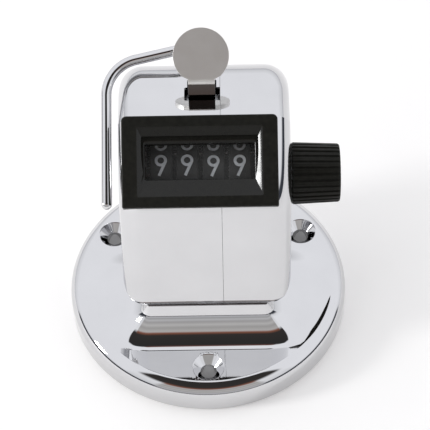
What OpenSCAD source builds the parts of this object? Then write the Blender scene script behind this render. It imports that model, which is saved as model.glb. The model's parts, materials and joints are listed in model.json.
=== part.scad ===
// Desktop tally counter: a chromed four-wheel counter on a round screw-down base.
// The base rests on z = 0, centred on the origin, and the window looks towards -Y and up.

/* [Base] */
// Diameter of the base plate
base_d = 70; // [66:1:80]
// Height of the flat land round the pedestal
land_z = 8; // [7:0.5:9]
// Radius of the rounded rim
rim_r = 3.25; // [3:0.25:5]
// Wall of the hollow base casting
base_wall = 2.5; // [2:0.25:3]
// Diameter of the circle that the screw holes lie on
hole_circle_d = 55.5; // [54:0.5:57]
// Diameter of a screw hole
hole_d = 4; // [3:0.1:4.5]
// Diameter of a countersink at the land
countersink_d = 7.8; // [6:0.1:8]
// Height of the seat that the case stands on
seat_z = 16; // [15:0.5:18]
// Width of the pedestal at its seat
seat_w = 31; // [28:1:33]
// Front edge of the seat, ahead of the centre
seat_front = 15.6; // [15:0.2:17]
// Back edge of the seat, behind the centre
seat_back = 3; // [2:0.5:5]
// Radius of the hollow flare round the pedestal
flare_r = 7.5; // [6:0.5:8]

/* [Case] */
// Width of the case between its two end faces
case_w = 41.4; // [40.4:0.2:43]
// Thickness of the sheet that the two cups are drawn from
sheet = 0.8; // [0.6:0.1:1]
// Radius of the drawn corner round each end face
draw_r = 6; // [5:0.25:6.5]
// Radius of the drawn corner at the foot of the front
foot_draw_r = 3; // [2.5:0.25:4]
// Lean of the front wall back from upright
front_lean = 17; // [15:1:19]
// Lean of the back wall in towards its foot
back_lean = 15; // [12:1:18]
// Radius of the round back of the top
top_r = 13.6; // [13:0.2:14.6]
// Radius of the lower front and back corners
foot_r = 1.2; // [0.8:0.2:2]
// Place of the seam between the cups, to the right of the middle
seam_x = 4; // [3.4:0.2:5]

/* [Face] */
// Angle of the window's face above level
face_tilt = 55; // [53:1:57]
// Width of the bezel at its front
bezel_w = 37; // [36:0.5:38]
// Height of the bezel at its front
bezel_h = 21.8; // [21:0.2:22.6]
// Offset of the bezel and the wheels to the left of the middle
face_shift = 1; // [0.5:0.25:1.25]
// Width of the window
window_w = 26; // [25.5:0.25:27]
// Height of the window
window_h = 8.5; // [8:0.25:9.5]
// Depth of the sloped frame round the window
bevel_depth = 4; // [3.5:0.25:4.25]
// Thickness of the clear pane
lens_t = 1.2; // [0.8:0.1:1.4]

/* [Wheels] */
// Diameter of a number wheel
wheel_d = 20.4; // [19:0.2:21]
// Distance from one wheel to the next
wheel_pitch = 6.3; // [6.2:0.05:6.4]
// Gap between the rims of two wheels
rim_gap = 1.1; // [1:0.05:1.3]
// Diameter over the ratchet teeth
ratchet_d = 9; // [8:0.2:9.2]
// Diameter of the wheel shaft
shaft_d = 4; // [3:0.2:4.4]
// Diameter of the reset knob at the case
knob_d = 15.2; // [14:0.2:17]
// Diameter of the reset knob at its outer end
knob_tip_d = 14.2; // [13:0.2:16]
// Length of the reset knob
knob_len = 11.8; // [10:0.2:13]
// Ribs round the knob
knob_ribs = 30; // [24:2:40]

/* [Lever] */
// Diameter of the thumb pad
pad_d = 13.3; // [12:0.1:13.8]
// Slope of the thumb pad
pad_tilt = 40; // [37:1:42]
// Thickness of the lever's steel
lever_t = 1.2; // [1:0.1:1.4]
// Width of the neck below the pad
neck_w = 6.4; // [5.6:0.1:6.6]
// Height of the pad's fold above the top of the case
fold_lift = 4.7; // [4.5:0.1:5.5]
// Diameter of the finger hook's rod
hook_d = 2.6; // [2.2:0.1:2.8]

/* [Fits] */
// Running clearance of a shaft in its bore, on the radius
run_fit = 0.04; // [0.02:0.01:0.08]
// Clearance between pieces that pass each other
pass_gap = 0.3; // [0.25:0.05:0.4]

/* [Hidden] */
$fn = 64;
eps = 0.01;

// Colours
chrome = [0.82, 0.83, 0.85];
nickel = [0.66, 0.65, 0.62];
black = [0.06, 0.06, 0.07];
steel = [0.58, 0.6, 0.62];
brass = [0.75, 0.6, 0.3];
clear = [0.85, 0.92, 0.95, 0.4];

// Frame of the face: x across, y up the face, z out of it
face_y = -0.6;
face_z = seat_z + 38.6;
face_u = [sin(face_tilt), cos(face_tilt)];
face_n = [-cos(face_tilt), sin(face_tilt)];
// Depth of the wheels behind the pane and of their axis below the window's middle
pane_rest = 1.2;
pane_back = bevel_depth + pane_rest + lens_t;
wheel_air = 0.6;
axis_depth = pane_back + wheel_air + wheel_d / 2;
axis_drop = 2;
axis_y = face_y - axis_depth * face_n[0] - axis_drop * face_u[0];
axis_z = face_z - axis_depth * face_n[1] - axis_drop * face_u[1];

// Outline of the case in the side view: a front wall, a broad brow, a nose, a flat roof and a round back
case_hw = case_w / 2;
front_dir = 180 - front_lean;
back_dir = 360 - back_lean;
brow_dir = 120;
roof_dir = 92;
bezel_proud = 1;
flush_up = bezel_h / 2;
flush_y = face_y + flush_up * face_u[0] - bezel_proud * face_n[0];
flush_z = face_z + flush_up * face_u[1] - bezel_proud * face_n[1];
roof_run = 9.75;
top_y = flush_y + roof_run;
top_z = flush_z - (top_r + roof_run * cos(roof_dir)) / sin(roof_dir);
roof_z = top_z + top_r;
foot_set = 0.2;
foot_rise = 1;
front_reach = cos(front_dir) * (foot_set - seat_front) + sin(front_dir) * (seat_z + foot_rise);
flush_reach = flush_y * cos(front_dir) + flush_z * sin(front_dir);
brow_r = (front_reach - flush_reach) / (1 - cos(front_dir - brow_dir));
brow_y = flush_y - brow_r * cos(brow_dir);
brow_z = flush_z - brow_r * sin(brow_dir);
back_reach = top_y * cos(back_dir) + top_z * sin(back_dir) + top_r;
nose_r = 1.5;
least_r = 0.2;
corner_steps = 5;
top_steps = 14;
nose_steps = 3;
brow_steps = 8;

function dir(a) = [cos(a), sin(a)];
function blend(a, b, share) = a + (b - a) * share;
function arc(cy, cz, r, a0, a1, steps) =
    [for (i = [0 : steps]) let (a = a0 + (a1 - a0) * i / steps) [cy + r * cos(a), cz + r * sin(a)]];
// Middle of a lower corner that touches the seat and a wall with the given direction and reach
function corner_mid(dir, reach, inset, r) =
    let (z = seat_z + inset + r) [(reach - inset - r - z * sin(dir)) / cos(dir), z];
// Middle of the nose, which touches the roof and the brow
nose_lean = (dir(roof_dir) + dir(brow_dir)) / (1 + dir(roof_dir) * dir(brow_dir));
function nose_mid(inset, r) = [flush_y, flush_z] - (inset + r) * nose_lean;
function brow(upper, lower) =
    [for (i = [1 : brow_steps]) let (share = i / brow_steps)
        [brow_y, brow_z] + (brow_r - blend(upper, lower, share)) * dir(blend(brow_dir, front_dir, share))];
// The case's outline, drawn in by one inset round the back and the roof and by another at the front's foot
function outline(upper, lower) =
    let (back_r = max(foot_r - upper, least_r),
         front_r = max(foot_r - lower, least_r),
         tip_r = max(nose_r - upper, least_r),
         f = corner_mid(front_dir, front_reach, lower, front_r),
         b = corner_mid(back_dir, back_reach, upper, back_r),
         m = nose_mid(upper, tip_r))
    concat(arc(b[0], b[1], back_r, 270, back_dir, corner_steps),
           arc(top_y, top_z, top_r - upper, back_dir - 360, roof_dir, top_steps),
           arc(m[0], m[1], tip_r, roof_dir, brow_dir, nose_steps),
           brow(upper, lower),
           arc(f[0], f[1], front_r, front_dir, 270, corner_steps));
draw_steps = 7;
// One ring of a cup: the outline's points, each with its place across
function cup_ring(x_upper, x_lower, upper, lower) =
    let (points = outline(upper, lower),
         first = len(points) - brow_steps - corner_steps - 2)
    [for (i = [0 : len(points) - 1]) let (share = min(max((i - first) / brow_steps, 0), 1))
        [blend(x_upper, x_lower, share), points[i][0], points[i][1]]];

// Lever: its pivot lies low at the front, so that the pad goes back and down
pivot_out = 2.6;
pivot_reach = wheel_d / 2 + pivot_out;
pivot_dir = 190;
pivot_y = axis_y + pivot_reach * cos(pivot_dir);
pivot_z = axis_z + pivot_reach * sin(pivot_dir);
pin_d = 2.5;
arm_w = 4.4;
arm_t = 1;
eye_grow = 0.5;
neck_x = -0.35;
// Slot for the neck: open to the seam in front, close to the neck behind
slot_side = 1;
slot_front = flush_y + 4.55;
slot_step = slot_front + 4.05;
neck_y = slot_front + 0.9;
slot_back = neck_y + 5.6;
bar_z = roof_z - 4.6;
bar_y = neck_y + 0.8;
bar_d = 6;
bar_t = 1.2;
fold_z = roof_z + fold_lift;

// Wheel stack and frame, across
rim_w = wheel_pitch - rim_gap;
wheel_x = [for (i = [0 : 3]) -face_shift + (i - 1.5) * wheel_pitch];
stack_left = wheel_x[0] - rim_w / 2;
side_play = 0.2;
stack_right = wheel_x[3] + rim_w / 2 + rim_gap - side_play;
arm_gap = 1;
arm_left = stack_left - arm_gap - arm_t;
arm_right = stack_right + arm_gap;
plate_t = 1;
plate_gap = 0.5;
plate_left = arm_left - plate_gap - plate_t;
plate_right = arm_right + arm_t + plate_gap;
plate_inset = 3.2;
bush_d = shaft_d + 3;
bush_flange_d = bush_d + 2;
bush_flange_t = 0.8;
clip_play = 0.2;
clip_t = 0.6;
clip_land = 0.4;
shaft_left = plate_left - bush_flange_t - clip_play - clip_t - clip_land;
knob_x = case_hw + pass_gap;
knob_cap = 2;
shaft_right = knob_x + knob_len - knob_cap;

// Posts that tie the plates and the two cups together
post_d = 4;
post_at = [[top_y + 4.6, top_z - 3.2], [axis_y - 10, axis_z - 13]];
post_end = case_hw - sheet;
post_bore = 5;
post_grip = 4.2;
thread_len = 3.2;
screw_d = 2;
screw_head_d = 3.8;
screw_fit = 0.2;
screw_head_t = 1;
screw_len = 4;
sunk_d = screw_d + 2 * sheet;

// Bar at the foot of the frame, which the base screws hold
bar_seat_gap = 0.15;
bar_base_z = seat_z + sheet + bar_seat_gap;
bar_h = 5;
bar_front = -9.5;
bar_back = axis_y + 2;
base_screw_x = [-9, 9];
base_screw_y = (seat_back - seat_front) / 2;
base_screw_d = 3;
base_head_d = 5.6;
base_head_t = 2;

// Comb and pawl fingers run in the gaps between the rims
finger_t = 0.7;
finger_side = 0.18;
finger_x = [for (x = wheel_x) x + rim_w / 2 + finger_side];
tooth_gap = 0.35;
comb_t = 0.6;
comb_foot = 6;
comb_back = 3.2;
pawl_pin_d = 1.6;
pawl_y = axis_y + 11.8;
pawl_z = axis_z + 13.2;
pawl_tip_y = axis_y + ratchet_d / 2 + 0.5;
pawl_tip_z = axis_z + 1.5;

// Finger hook route: a tip beside the front, a run along the left end, a bend and an end behind the pad
hook_gap = 1.4;
hook_x = -case_hw - hook_gap - hook_d / 2;
hook_bend = 9;
hook_swing = 77.6;
hook_turn = 3;
hook_tip_y = -5.5;
hook_tip_z = seat_z + 28.9;
hook_dir = 28;
hook_seat_dir = 46.3;
hook_end_x = -4;
hook_end_y = top_y + top_r * cos(hook_seat_dir);
hook_foot_z = top_z + top_r * sin(hook_seat_dir);
collar_d = 5.4;
collar_sink = 4.4;
collar_rise = 2.4;
nut_d = collar_d - 0.8;
nut_t = 1.6;
nut_gap = 0.1;
rod_tail = 0.5;
hook_fit = 0.01;
nut_top = top_z + sqrt(pow(top_r - sheet, 2) - pow(hook_end_y - top_y + nut_d / 2, 2)) - nut_gap;

// Extrudes a side-view shape, drawn as y and z, from x0 to x1
module across(x0, x1) {
    translate([x0, 0, 0]) rotate([90, 0, 90]) linear_extrude(x1 - x0) children();
}
// Round bar along x
module rod(y, z, x0, x1, d) {
    translate([x0, y, z]) rotate([0, 90, 0]) cylinder(d = d, h = x1 - x0);
}
// Places children in the frame of the face
module on_face() {
    translate([-face_shift, face_y, face_z]) rotate([90 - face_tilt, 0, 0]) children();
}
// Flat strip between two points of the side view, with a slightly wider eye at each end
module strip(p, q, w) {
    v = q - p;
    translate(p) rotate(atan2(v[1], v[0])) translate([0, -w / 2]) square([norm(v), w]);
    translate(p) circle(d = w + eye_grow);
    translate(q) circle(d = w + eye_grow);
}
// Stack of equal rings joined into one closed skin
module skin(rings) {
    n = len(rings[0]);
    last = len(rings) - 1;
    points = [for (ring = rings, p = ring) p];
    sides = [for (k = [0 : last - 1], i = [0 : n - 1])
        [k * n + i, k * n + (i + 1) % n, (k + 1) * n + (i + 1) % n, (k + 1) * n + i]];
    split = [for (f = sides) each [[f[0], f[1], f[2]], [f[0], f[2], f[3]]]];
    caps = [[for (i = [n - 1 : -1 : 0]) i], [for (i = [0 : n - 1]) last * n + i]];
    turned = [for (f = split) [f[2], f[1], f[0]]];
    closed = [for (c = caps) [for (i = [n - 1 : -1 : 0]) c[i]]];
    polyhedron(points, concat(turned, closed));
}
// Solid of one cup, between its open edge and its drawn end
module cup_solid(edge_x, side, inset) {
    end_x = side * (case_hw - inset);
    upper_r = draw_r - inset;
    lower_r = foot_draw_r - inset;
    drawn = [for (i = [0 : draw_steps])
        let (a = 90 * i / draw_steps, shift = side * (1 - sin(a)), drop = 1 - cos(a))
        cup_ring(end_x - upper_r * shift, end_x - lower_r * shift,
                 inset + upper_r * drop, inset + lower_r * drop)];
    rings = concat([cup_ring(edge_x, edge_x, inset, inset)], drawn);
    skin(side > 0 ? rings : [for (i = [len(rings) - 1 : -1 : 0]) rings[i]]);
}
// Bezel's back part that goes through the case
skirt_w = bezel_w - 4;
skirt_h = bezel_h - 3.4;
skirt_depth = pane_back;
skirt_fit = 0.1;
module skirt(grow, rise) {
    on_face() translate([-skirt_w / 2 - grow, -skirt_h / 2 - grow, -skirt_depth])
        cube([skirt_w + 2 * grow, skirt_h + 2 * grow, skirt_depth + rise]);
}
module lever_slot() {
    left = neck_x - neck_w / 2;
    translate([left - slot_side, slot_front, top_z])
        cube([seam_x + 1 - left + slot_side, slot_step - slot_front, top_r + 1]);
    translate([left - pass_gap, slot_step - eps, top_z])
        cube([neck_w + 2 * pass_gap, slot_back - slot_step + eps, top_r + 1]);
}
module sunk_hole() {
    r = screw_d / 2 + screw_fit / 2;
    mouth = sunk_d / 2 + screw_fit / 2;
    rotate_extrude() polygon([[0, -sheet - 1], [r, -sheet - 1], [r, -sheet], [mouth, 0], [mouth, 1], [0, 1]]);
}
module case_cuts() {
    skirt(skirt_fit, bezel_proud);
    rod(axis_y, axis_z, 0, case_hw + 1, shaft_d + 2 * pass_gap);
    for (p = post_at, side = [-1, 1]) translate([side * case_hw, p[0], p[1]])
        rotate([0, side * 90, 0]) sunk_hole();
    for (x = base_screw_x) translate([x, base_screw_y, 0])
        cylinder(d = base_screw_d + screw_fit, h = seat_z + sheet + 1);
    translate([hook_end_x, hook_end_y, top_z]) cylinder(d = hook_d + screw_fit / 2, h = top_r + 1);
}
module case_cup(side) {
    difference() {
        cup_solid(seam_x, side, 0);
        cup_solid(seam_x - side, side, sheet);
        case_cuts();
        if (side < 0) lever_slot();
    }
}

// Round plate with a flared pedestal, hollow below, and three countersunk holes
flare_steps = 6;
flare_dip = 0.05;
seat_corner = 0.6;
// One level of the pedestal: its rectangle, grown all round
function seat_ring(grow, z) =
    let (r = seat_corner + grow,
         w = seat_w / 2 - seat_corner,
         front = seat_corner - seat_front,
         back = seat_back - seat_corner)
    [for (c = [[w, back, 0], [-w, back, 90], [-w, front, 180], [w, front, 270]], i = [0 : corner_steps])
        let (a = c[2] + 90 * i / corner_steps) [c[0] + r * cos(a), c[1] + r * sin(a), z]];
module pedestal() {
    foot = land_z - flare_dip;
    flare = [for (i = [0 : flare_steps]) let (a = 90 * i / flare_steps)
        seat_ring(flare_r * (1 - sin(a)), foot + flare_r * (1 - cos(a)))];
    skin(concat([seat_ring(flare_r, land_z - 1)], flare, [seat_ring(0, seat_z)]));
}
module base_plate(d, top, r) {
    rotate_extrude() {
        square([d / 2 - r, top]);
        square([d / 2, top - r]);
        translate([d / 2 - r, top - r]) intersection() {
            circle(r = r);
            square(r);
        }
    }
}
hole_angles = [-90, 30, 150];
boss_wall = 2.5;
boss_d = hole_d + 2 * boss_wall;
module base() {
    color(chrome) difference() {
        union() {
            difference() {
                union() {
                    base_plate(base_d, land_z, rim_r);
                    pedestal();
                }
                translate([0, 0, -eps])
                    base_plate(base_d - 2 * base_wall, land_z - base_wall, rim_r - 1);
                translate([-seat_w / 2 + base_wall, -seat_front + base_wall, 0])
                    cube([seat_w - 2 * base_wall, seat_front + seat_back - 2 * base_wall,
                          seat_z - base_wall]);
            }
            for (a = hole_angles) rotate(a) translate([hole_circle_d / 2, 0, 0])
                cylinder(d = boss_d, h = land_z - 1);
        }
        for (a = hole_angles) rotate(a) translate([hole_circle_d / 2, 0, 0]) {
            translate([0, 0, -1]) cylinder(d = hole_d, h = land_z + 2);
            translate([0, 0, land_z - (countersink_d - hole_d) / 2])
                cylinder(d1 = hole_d, d2 = countersink_d, h = (countersink_d - hole_d) / 2);
            translate([0, 0, land_z - eps]) cylinder(d = countersink_d, h = flare_r);
        }
        for (x = base_screw_x) translate([x, base_screw_y, seat_z - base_wall - 1])
            cylinder(d = base_screw_d + screw_fit, h = base_wall + 2);
    }
}
module left_case() {
    color(chrome) case_cup(-1);
}
module right_case() {
    color(chrome) case_cup(1);
}

// Moulded frame round the window, flush with the case at its top and proud at its foot
bezel_draft = 0.3;
bezel_deep = 10;
bezel_top_r = 1.2;
bezel_foot_r = 0.4;
bevel_w = window_w + 3.6;
bevel_h = window_h + 7.9;
pane_lap = 1.5;
pane_seat_w = window_w + 2 * (pane_lap + skirt_fit);
pane_seat_h = window_h + 2 * (pane_lap + skirt_fit);
// Level of the bezel: rounder at its top corners than at its foot
module face_slab(w, z) {
    hull() for (x = [-1, 1]) {
        translate([x * (w / 2 - bezel_top_r), bezel_h / 2 - bezel_top_r, z])
            cylinder(r = bezel_top_r, h = eps, $fn = 24);
        translate([x * (w / 2 - bezel_foot_r), bezel_foot_r - bezel_h / 2, z])
            cylinder(r = bezel_foot_r, h = eps, $fn = 24);
    }
}
module bezel() {
    color(black) difference() {
        union() {
            difference() {
                on_face() hull() {
                    face_slab(bezel_w, -eps);
                    face_slab(bezel_w + 2 * bezel_draft, -bezel_deep);
                }
                cup_solid(seam_x - 1, 1, 0);
                cup_solid(seam_x + 1, -1, 0);
            }
            skirt(0, -bezel_proud);
        }
        on_face() {
            hull() {
                translate([-bevel_w / 2, -bevel_h / 2, 0]) cube([bevel_w, bevel_h, eps]);
                translate([-window_w / 2, -window_h / 2, -bevel_depth]) cube([window_w, window_h, eps]);
            }
            translate([-window_w / 2, -window_h / 2, -skirt_depth - 1])
                cube([window_w, window_h, skirt_depth]);
            translate([-pane_seat_w / 2, -pane_seat_h / 2, -skirt_depth - 1])
                cube([pane_seat_w, pane_seat_h, lens_t + 1]);
        }
    }
}
module lens() {
    color(clear) on_face() translate([-window_w / 2 - pane_lap, -window_h / 2 - pane_lap, -pane_back])
        cube([window_w + 2 * pane_lap, window_h + 2 * pane_lap, lens_t]);
}

// Thumb pad, folded neck and foot in one strip of steel
pad_sink = 0.9;
module thumb_lever() {
    color(nickel) {
        translate([neck_x, neck_y + lever_t, fold_z]) rotate([pad_tilt, 0, 0]) {
            intersection() {
                translate([0, pad_d / 2 - pad_sink, 0]) cylinder(d = pad_d, h = lever_t);
                translate([-pad_d, -lever_t / 2, -1]) cube([2 * pad_d, 2 * pad_d, lever_t + 2]);
            }
            translate([-neck_w / 2, -lever_t / 2, 0]) cube([neck_w, pad_d / 2, lever_t]);
        }
        translate([neck_x - neck_w / 2, neck_y, bar_z + bar_t])
            cube([neck_w, lever_t, fold_z - bar_z - bar_t + 0.3]);
        difference() {
            translate([neck_x - neck_w / 2, neck_y, bar_z + bar_t]) cube([neck_w, bar_d - 2.2, lever_t]);
            for (x = rivet_x) translate([x, rivet_y, bar_z]) cylinder(d = rivet_d, h = 5);
        }
    }
}
rivet_d = 1.4;
rivet_x = [neck_x - neck_w / 4, neck_x + neck_w / 4];
rivet_y = neck_y + lever_t + 1.3;
module lever_rivets() {
    color(nickel) for (x = rivet_x) translate([x, rivet_y, 0]) {
        translate([0, 0, bar_z]) cylinder(d = rivet_d, h = bar_t + lever_t);
        translate([0, 0, bar_z + bar_t + lever_t]) cylinder(d1 = rivet_d + 1, d2 = rivet_d, h = 0.5);
    }
}
// Bail that straddles the wheels: two arms on the pivot, a bar over the top and ears for the pawl
arm_knee = [axis_y + 4.6, axis_z + 11.4];
module arm_outline() {
    difference() {
        union() {
            strip([pivot_y, pivot_z], arm_knee, arm_w);
            strip(arm_knee, [bar_y, bar_z - 1], arm_w);
            strip(arm_knee, [pawl_y, pawl_z], arm_w - 1);
            translate([bar_y - bar_d / 2, bar_z - 2]) square([bar_d, 2 + bar_t]);
        }
        translate([pivot_y, pivot_z]) circle(d = pin_d + 2 * run_fit);
        translate([pawl_y, pawl_z]) circle(d = pawl_pin_d);
    }
}
module lever_bail() {
    color(steel) difference() {
        union() {
            across(arm_left, arm_left + arm_t) arm_outline();
            across(arm_right, arm_right + arm_t) arm_outline();
            translate([arm_left, bar_y - bar_d / 2, bar_z])
                cube([arm_right + arm_t - arm_left, bar_d, bar_t]);
        }
        for (x = rivet_x) translate([x, rivet_y, bar_z - 1]) cylinder(d = rivet_d, h = 5);
    }
}
module lever_pin() {
    color(steel) rod(pivot_y, pivot_z, plate_left, plate_right + plate_t, pin_d);
}

// Round rod from a domed tip along the left end, over the shoulder and down behind the pad
hook_along = [0, cos(hook_dir), sin(hook_dir)];
hook_up = [0, -sin(hook_dir), cos(hook_dir)];
hook_down = [0, 0, -1];
hook_over = sin(hook_swing) * [1, 0, 0] + cos(hook_swing) * hook_along;
hook_span = (hook_end_x - hook_x - hook_bend * (1 - cos(hook_swing))) / sin(hook_swing);
hook_run = (hook_end_y - hook_tip_y) / cos(hook_dir) - hook_bend * sin(hook_swing)
    - hook_span * cos(hook_swing);
hook_tip = [hook_x, hook_tip_y, hook_tip_z];
hook_corner = [hook_end_x, hook_end_y, hook_tip_z + (hook_end_y - hook_tip_y) * tan(hook_dir)];
hook_lead = hook_turn * tan(acos(hook_over * hook_down) / 2);
hook_sides = 16;
bend_steps = 9;
// Stations of the rod: middle, direction and radius
function bend(start, from, to, r) =
    let (turn = acos(from * to), side = (to - cos(turn) * from) / sin(turn))
    [for (i = [0 : bend_steps]) let (a = turn * i / bend_steps)
        [start + r * (sin(a) * from + (1 - cos(a)) * side), cos(a) * from + sin(a) * side, hook_d / 2]];
hook_dome = [for (i = [0 : 4]) let (a = -90 + 18 * i + 8)
    [hook_tip + hook_d / 2 * sin(a) * hook_along, hook_along, hook_d / 2 * cos(a)]];
hook_shoulder = bend(hook_tip + hook_run * hook_along, hook_along, hook_over, hook_bend);
hook_drop = bend(hook_corner - hook_lead * hook_over, hook_over, hook_down, hook_turn);
hook_foot = [[[hook_end_x, hook_end_y, nut_top - nut_t - rod_tail], hook_down, hook_d / 2]];
function hook_ring(s) =
    let (flat = hook_up - (hook_up * s[1]) * s[1], e = flat / norm(flat), f = cross(s[1], e))
    [for (k = [0 : hook_sides - 1]) let (a = 360 * k / hook_sides) s[0] + s[2] * (cos(a) * e + sin(a) * f)];
module finger_hook() {
    color(chrome) skin([for (s = concat(hook_dome, hook_shoulder, hook_drop, hook_foot)) hook_ring(s)]);
}
module ring_nut(d, z0, h) {
    translate([hook_end_x, hook_end_y, z0]) difference() {
        cylinder(d = d, h = h);
        translate([0, 0, -1]) cylinder(d = hook_d + 2 * hook_fit, h = h + 2);
    }
}
module hook_collar() {
    color(chrome) difference() {
        ring_nut(collar_d, hook_foot_z - collar_sink, collar_sink + collar_rise);
        cup_solid(seam_x, -1, 0);
    }
}
module hook_nut() {
    color(steel) ring_nut(nut_d, nut_top - nut_t, nut_t);
}

// Knob with wide straight ribs, tapered and chamfered, on the end of the wheel shaft
rib_depth = 0.35;
knob_edge = 0.5;
knob_spare = 0.1;
// Corners of one rib: place in half pitches and depth
rib_corners = [[-0.56, 0], [0.56, 0], [0.76, rib_depth], [1.24, rib_depth]];
module knob_outline() {
    polygon([for (i = [0 : knob_ribs - 1], k = rib_corners)
        (knob_d / 2 - k[1]) * dir(180 * (2 * i + k[0]) / knob_ribs)]);
}
module knob_ends() {
    rotate_extrude() polygon([[0, 0], [knob_d / 2 - knob_edge, 0], [knob_d / 2 + knob_spare, knob_edge],
        [knob_tip_d / 2 + knob_spare, knob_len - knob_edge], [knob_tip_d / 2 - knob_edge, knob_len],
        [0, knob_len]]);
}
module reset_knob() {
    color(black) difference() {
        translate([knob_x, axis_y, axis_z]) rotate([0, 90, 0]) intersection() {
            linear_extrude(knob_len, scale = knob_tip_d / knob_d) knob_outline();
            knob_ends();
        }
        rod(axis_y, axis_z, knob_x - 1, shaft_right, shaft_d);
        rod_pin(shaft_d + 2 * pin_reach + 2);
    }
}
// Cross pin through the knob's hub
pin_x = knob_x + 3;
pin_reach = 3;
cross_d = 1.2;
module rod_pin(len) {
    translate([pin_x, axis_y, axis_z - len / 2]) cylinder(d = cross_d, h = len);
}
module knob_pin() {
    color(steel) rod_pin(shaft_d + 2 * pin_reach);
}
clip_x = shaft_left + clip_land;
clip_lip = 1.7;
groove_depth = 0.4;
groove_d = shaft_d - 2 * groove_depth;
clip_mouth = shaft_d - 1.2;
key_w = 0.8;
key_depth = 0.5;
module wheel_shaft() {
    color(steel) difference() {
        rod(axis_y, axis_z, shaft_left, shaft_right, shaft_d);
        rod_pin(shaft_d + 2);
        difference() {
            rod(axis_y, axis_z, clip_x, clip_x + clip_t, shaft_d + 2);
            rod(axis_y, axis_z, clip_x - 1, clip_x + clip_t + 1, groove_d);
        }
        translate([stack_left, axis_y - key_w / 2, axis_z + shaft_d / 2 - key_depth])
            cube([stack_right - stack_left, key_w, 1]);
    }
}
module shaft_clip() {
    color(steel) difference() {
        rod(axis_y, axis_z, clip_x, clip_x + clip_t, shaft_d + 2 * clip_lip);
        rod(axis_y, axis_z, clip_x - 1, clip_x + clip_t + 1, groove_d);
        translate([clip_x - 1, axis_y - clip_mouth / 2, axis_z])
            cube([clip_t + 2, clip_mouth, shaft_d + 2 * clip_lip]);
    }
}

// Number wheel: a rim, a thin web, a hub and a ratchet of ten teeth on its right side
hub_d = shaft_d + 3;
web_t = 1.4;
wheel_wall = 1.6;
ratchet_w = rim_gap - side_play;
tooth_depth = 0.8;
tooth_lead = 7;
module ratchet_outline() {
    tip = ratchet_d / 2;
    root = tip - tooth_depth;
    polygon([for (i = [0 : 9]) each [[tip * cos(36 * i), tip * sin(36 * i)],
        [root * cos(36 * i + tooth_lead), root * sin(36 * i + tooth_lead)]]]);
}
module wheel_blank() {
    rim = wheel_d / 2;
    rotate_extrude() polygon([[0, 0], [hub_d / 2, 0], [hub_d / 2, rim_w - web_t],
        [rim - wheel_wall, rim_w - web_t], [rim - wheel_wall, 0], [rim, 0], [rim, rim_w], [0, rim_w]]);
}
module number_wheel(i) {
    x0 = wheel_x[i] - rim_w / 2;
    color(black) difference() {
        union() {
            translate([x0, axis_y, axis_z]) rotate([0, 90, 0]) wheel_blank();
            across(x0 + rim_w - web_t / 2, x0 + rim_w + ratchet_w)
                translate([axis_y, axis_z]) ratchet_outline();
        }
        rod(axis_y, axis_z, x0 - 1, x0 + wheel_pitch, shaft_d + 2 * run_fit);
    }
}
module number_wheel_1() {
    number_wheel(0);
}
module number_wheel_2() {
    number_wheel(1);
}
module number_wheel_3() {
    number_wheel(2);
}
module number_wheel_4() {
    number_wheel(3);
}

// Two side plates, held by posts and by the bar at their foot
plate_screw_at = [[bar_front + 3, bar_base_z + bar_h / 2 + 1], [bar_back - 3, bar_base_z + bar_h / 2 + 1]];
module frame_plate(x0) {
    color(brass) difference() {
        across(x0, x0 + plate_t) polygon(outline(plate_inset, plate_inset));
        skirt(1.5, 0);
        rod(axis_y, axis_z, x0 - 1, x0 + 2, bush_d);
        rod(pivot_y, pivot_z, x0 - 1, x0 + 2, pin_d);
        for (p = post_at) rod(p[0], p[1], x0 - 1, x0 + 2, post_d);
        for (p = plate_screw_at) rod(p[0], p[1], x0 - 1, x0 + 2, screw_d);
    }
}
module left_plate() {
    frame_plate(plate_left);
}
module right_plate() {
    frame_plate(plate_right);
}
module bush(x0, flange_x) {
    color(brass) difference() {
        union() {
            rod(axis_y, axis_z, x0, x0 + plate_t, bush_d);
            rod(axis_y, axis_z, flange_x, flange_x + bush_flange_t, bush_flange_d);
        }
        rod(axis_y, axis_z, x0 - 3, x0 + 4, shaft_d + 2 * run_fit);
    }
}
module left_bush() {
    bush(plate_left, plate_left - bush_flange_t);
}
module right_bush() {
    bush(plate_right, plate_right + plate_t);
}
module frame_posts() {
    color(steel) for (p = post_at) difference() {
        rod(p[0], p[1], -post_end, post_end, post_d);
        rod(p[0], p[1], -post_end - 1, -post_end + post_bore, screw_d);
        rod(p[0], p[1], post_end - post_bore, post_end + 1, screw_d);
    }
}
module mount_bar() {
    color(steel) difference() {
        translate([plate_left + plate_t, bar_front, bar_base_z])
            cube([plate_right - plate_left - plate_t, bar_back - bar_front, bar_h]);
        for (x = base_screw_x) translate([x, base_screw_y, seat_z]) cylinder(d = base_screw_d, h = bar_h);
        for (p = plate_screw_at) {
            rod(p[0], p[1], plate_left, plate_left + plate_t + thread_len, screw_d);
            rod(p[0], p[1], plate_right - thread_len, plate_right + plate_t, screw_d);
        }
        for (x = comb_screw_x) translate([x, comb_screw_y, bar_base_z + 1]) cylinder(d = screw_d, h = bar_h);
    }
}

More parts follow.
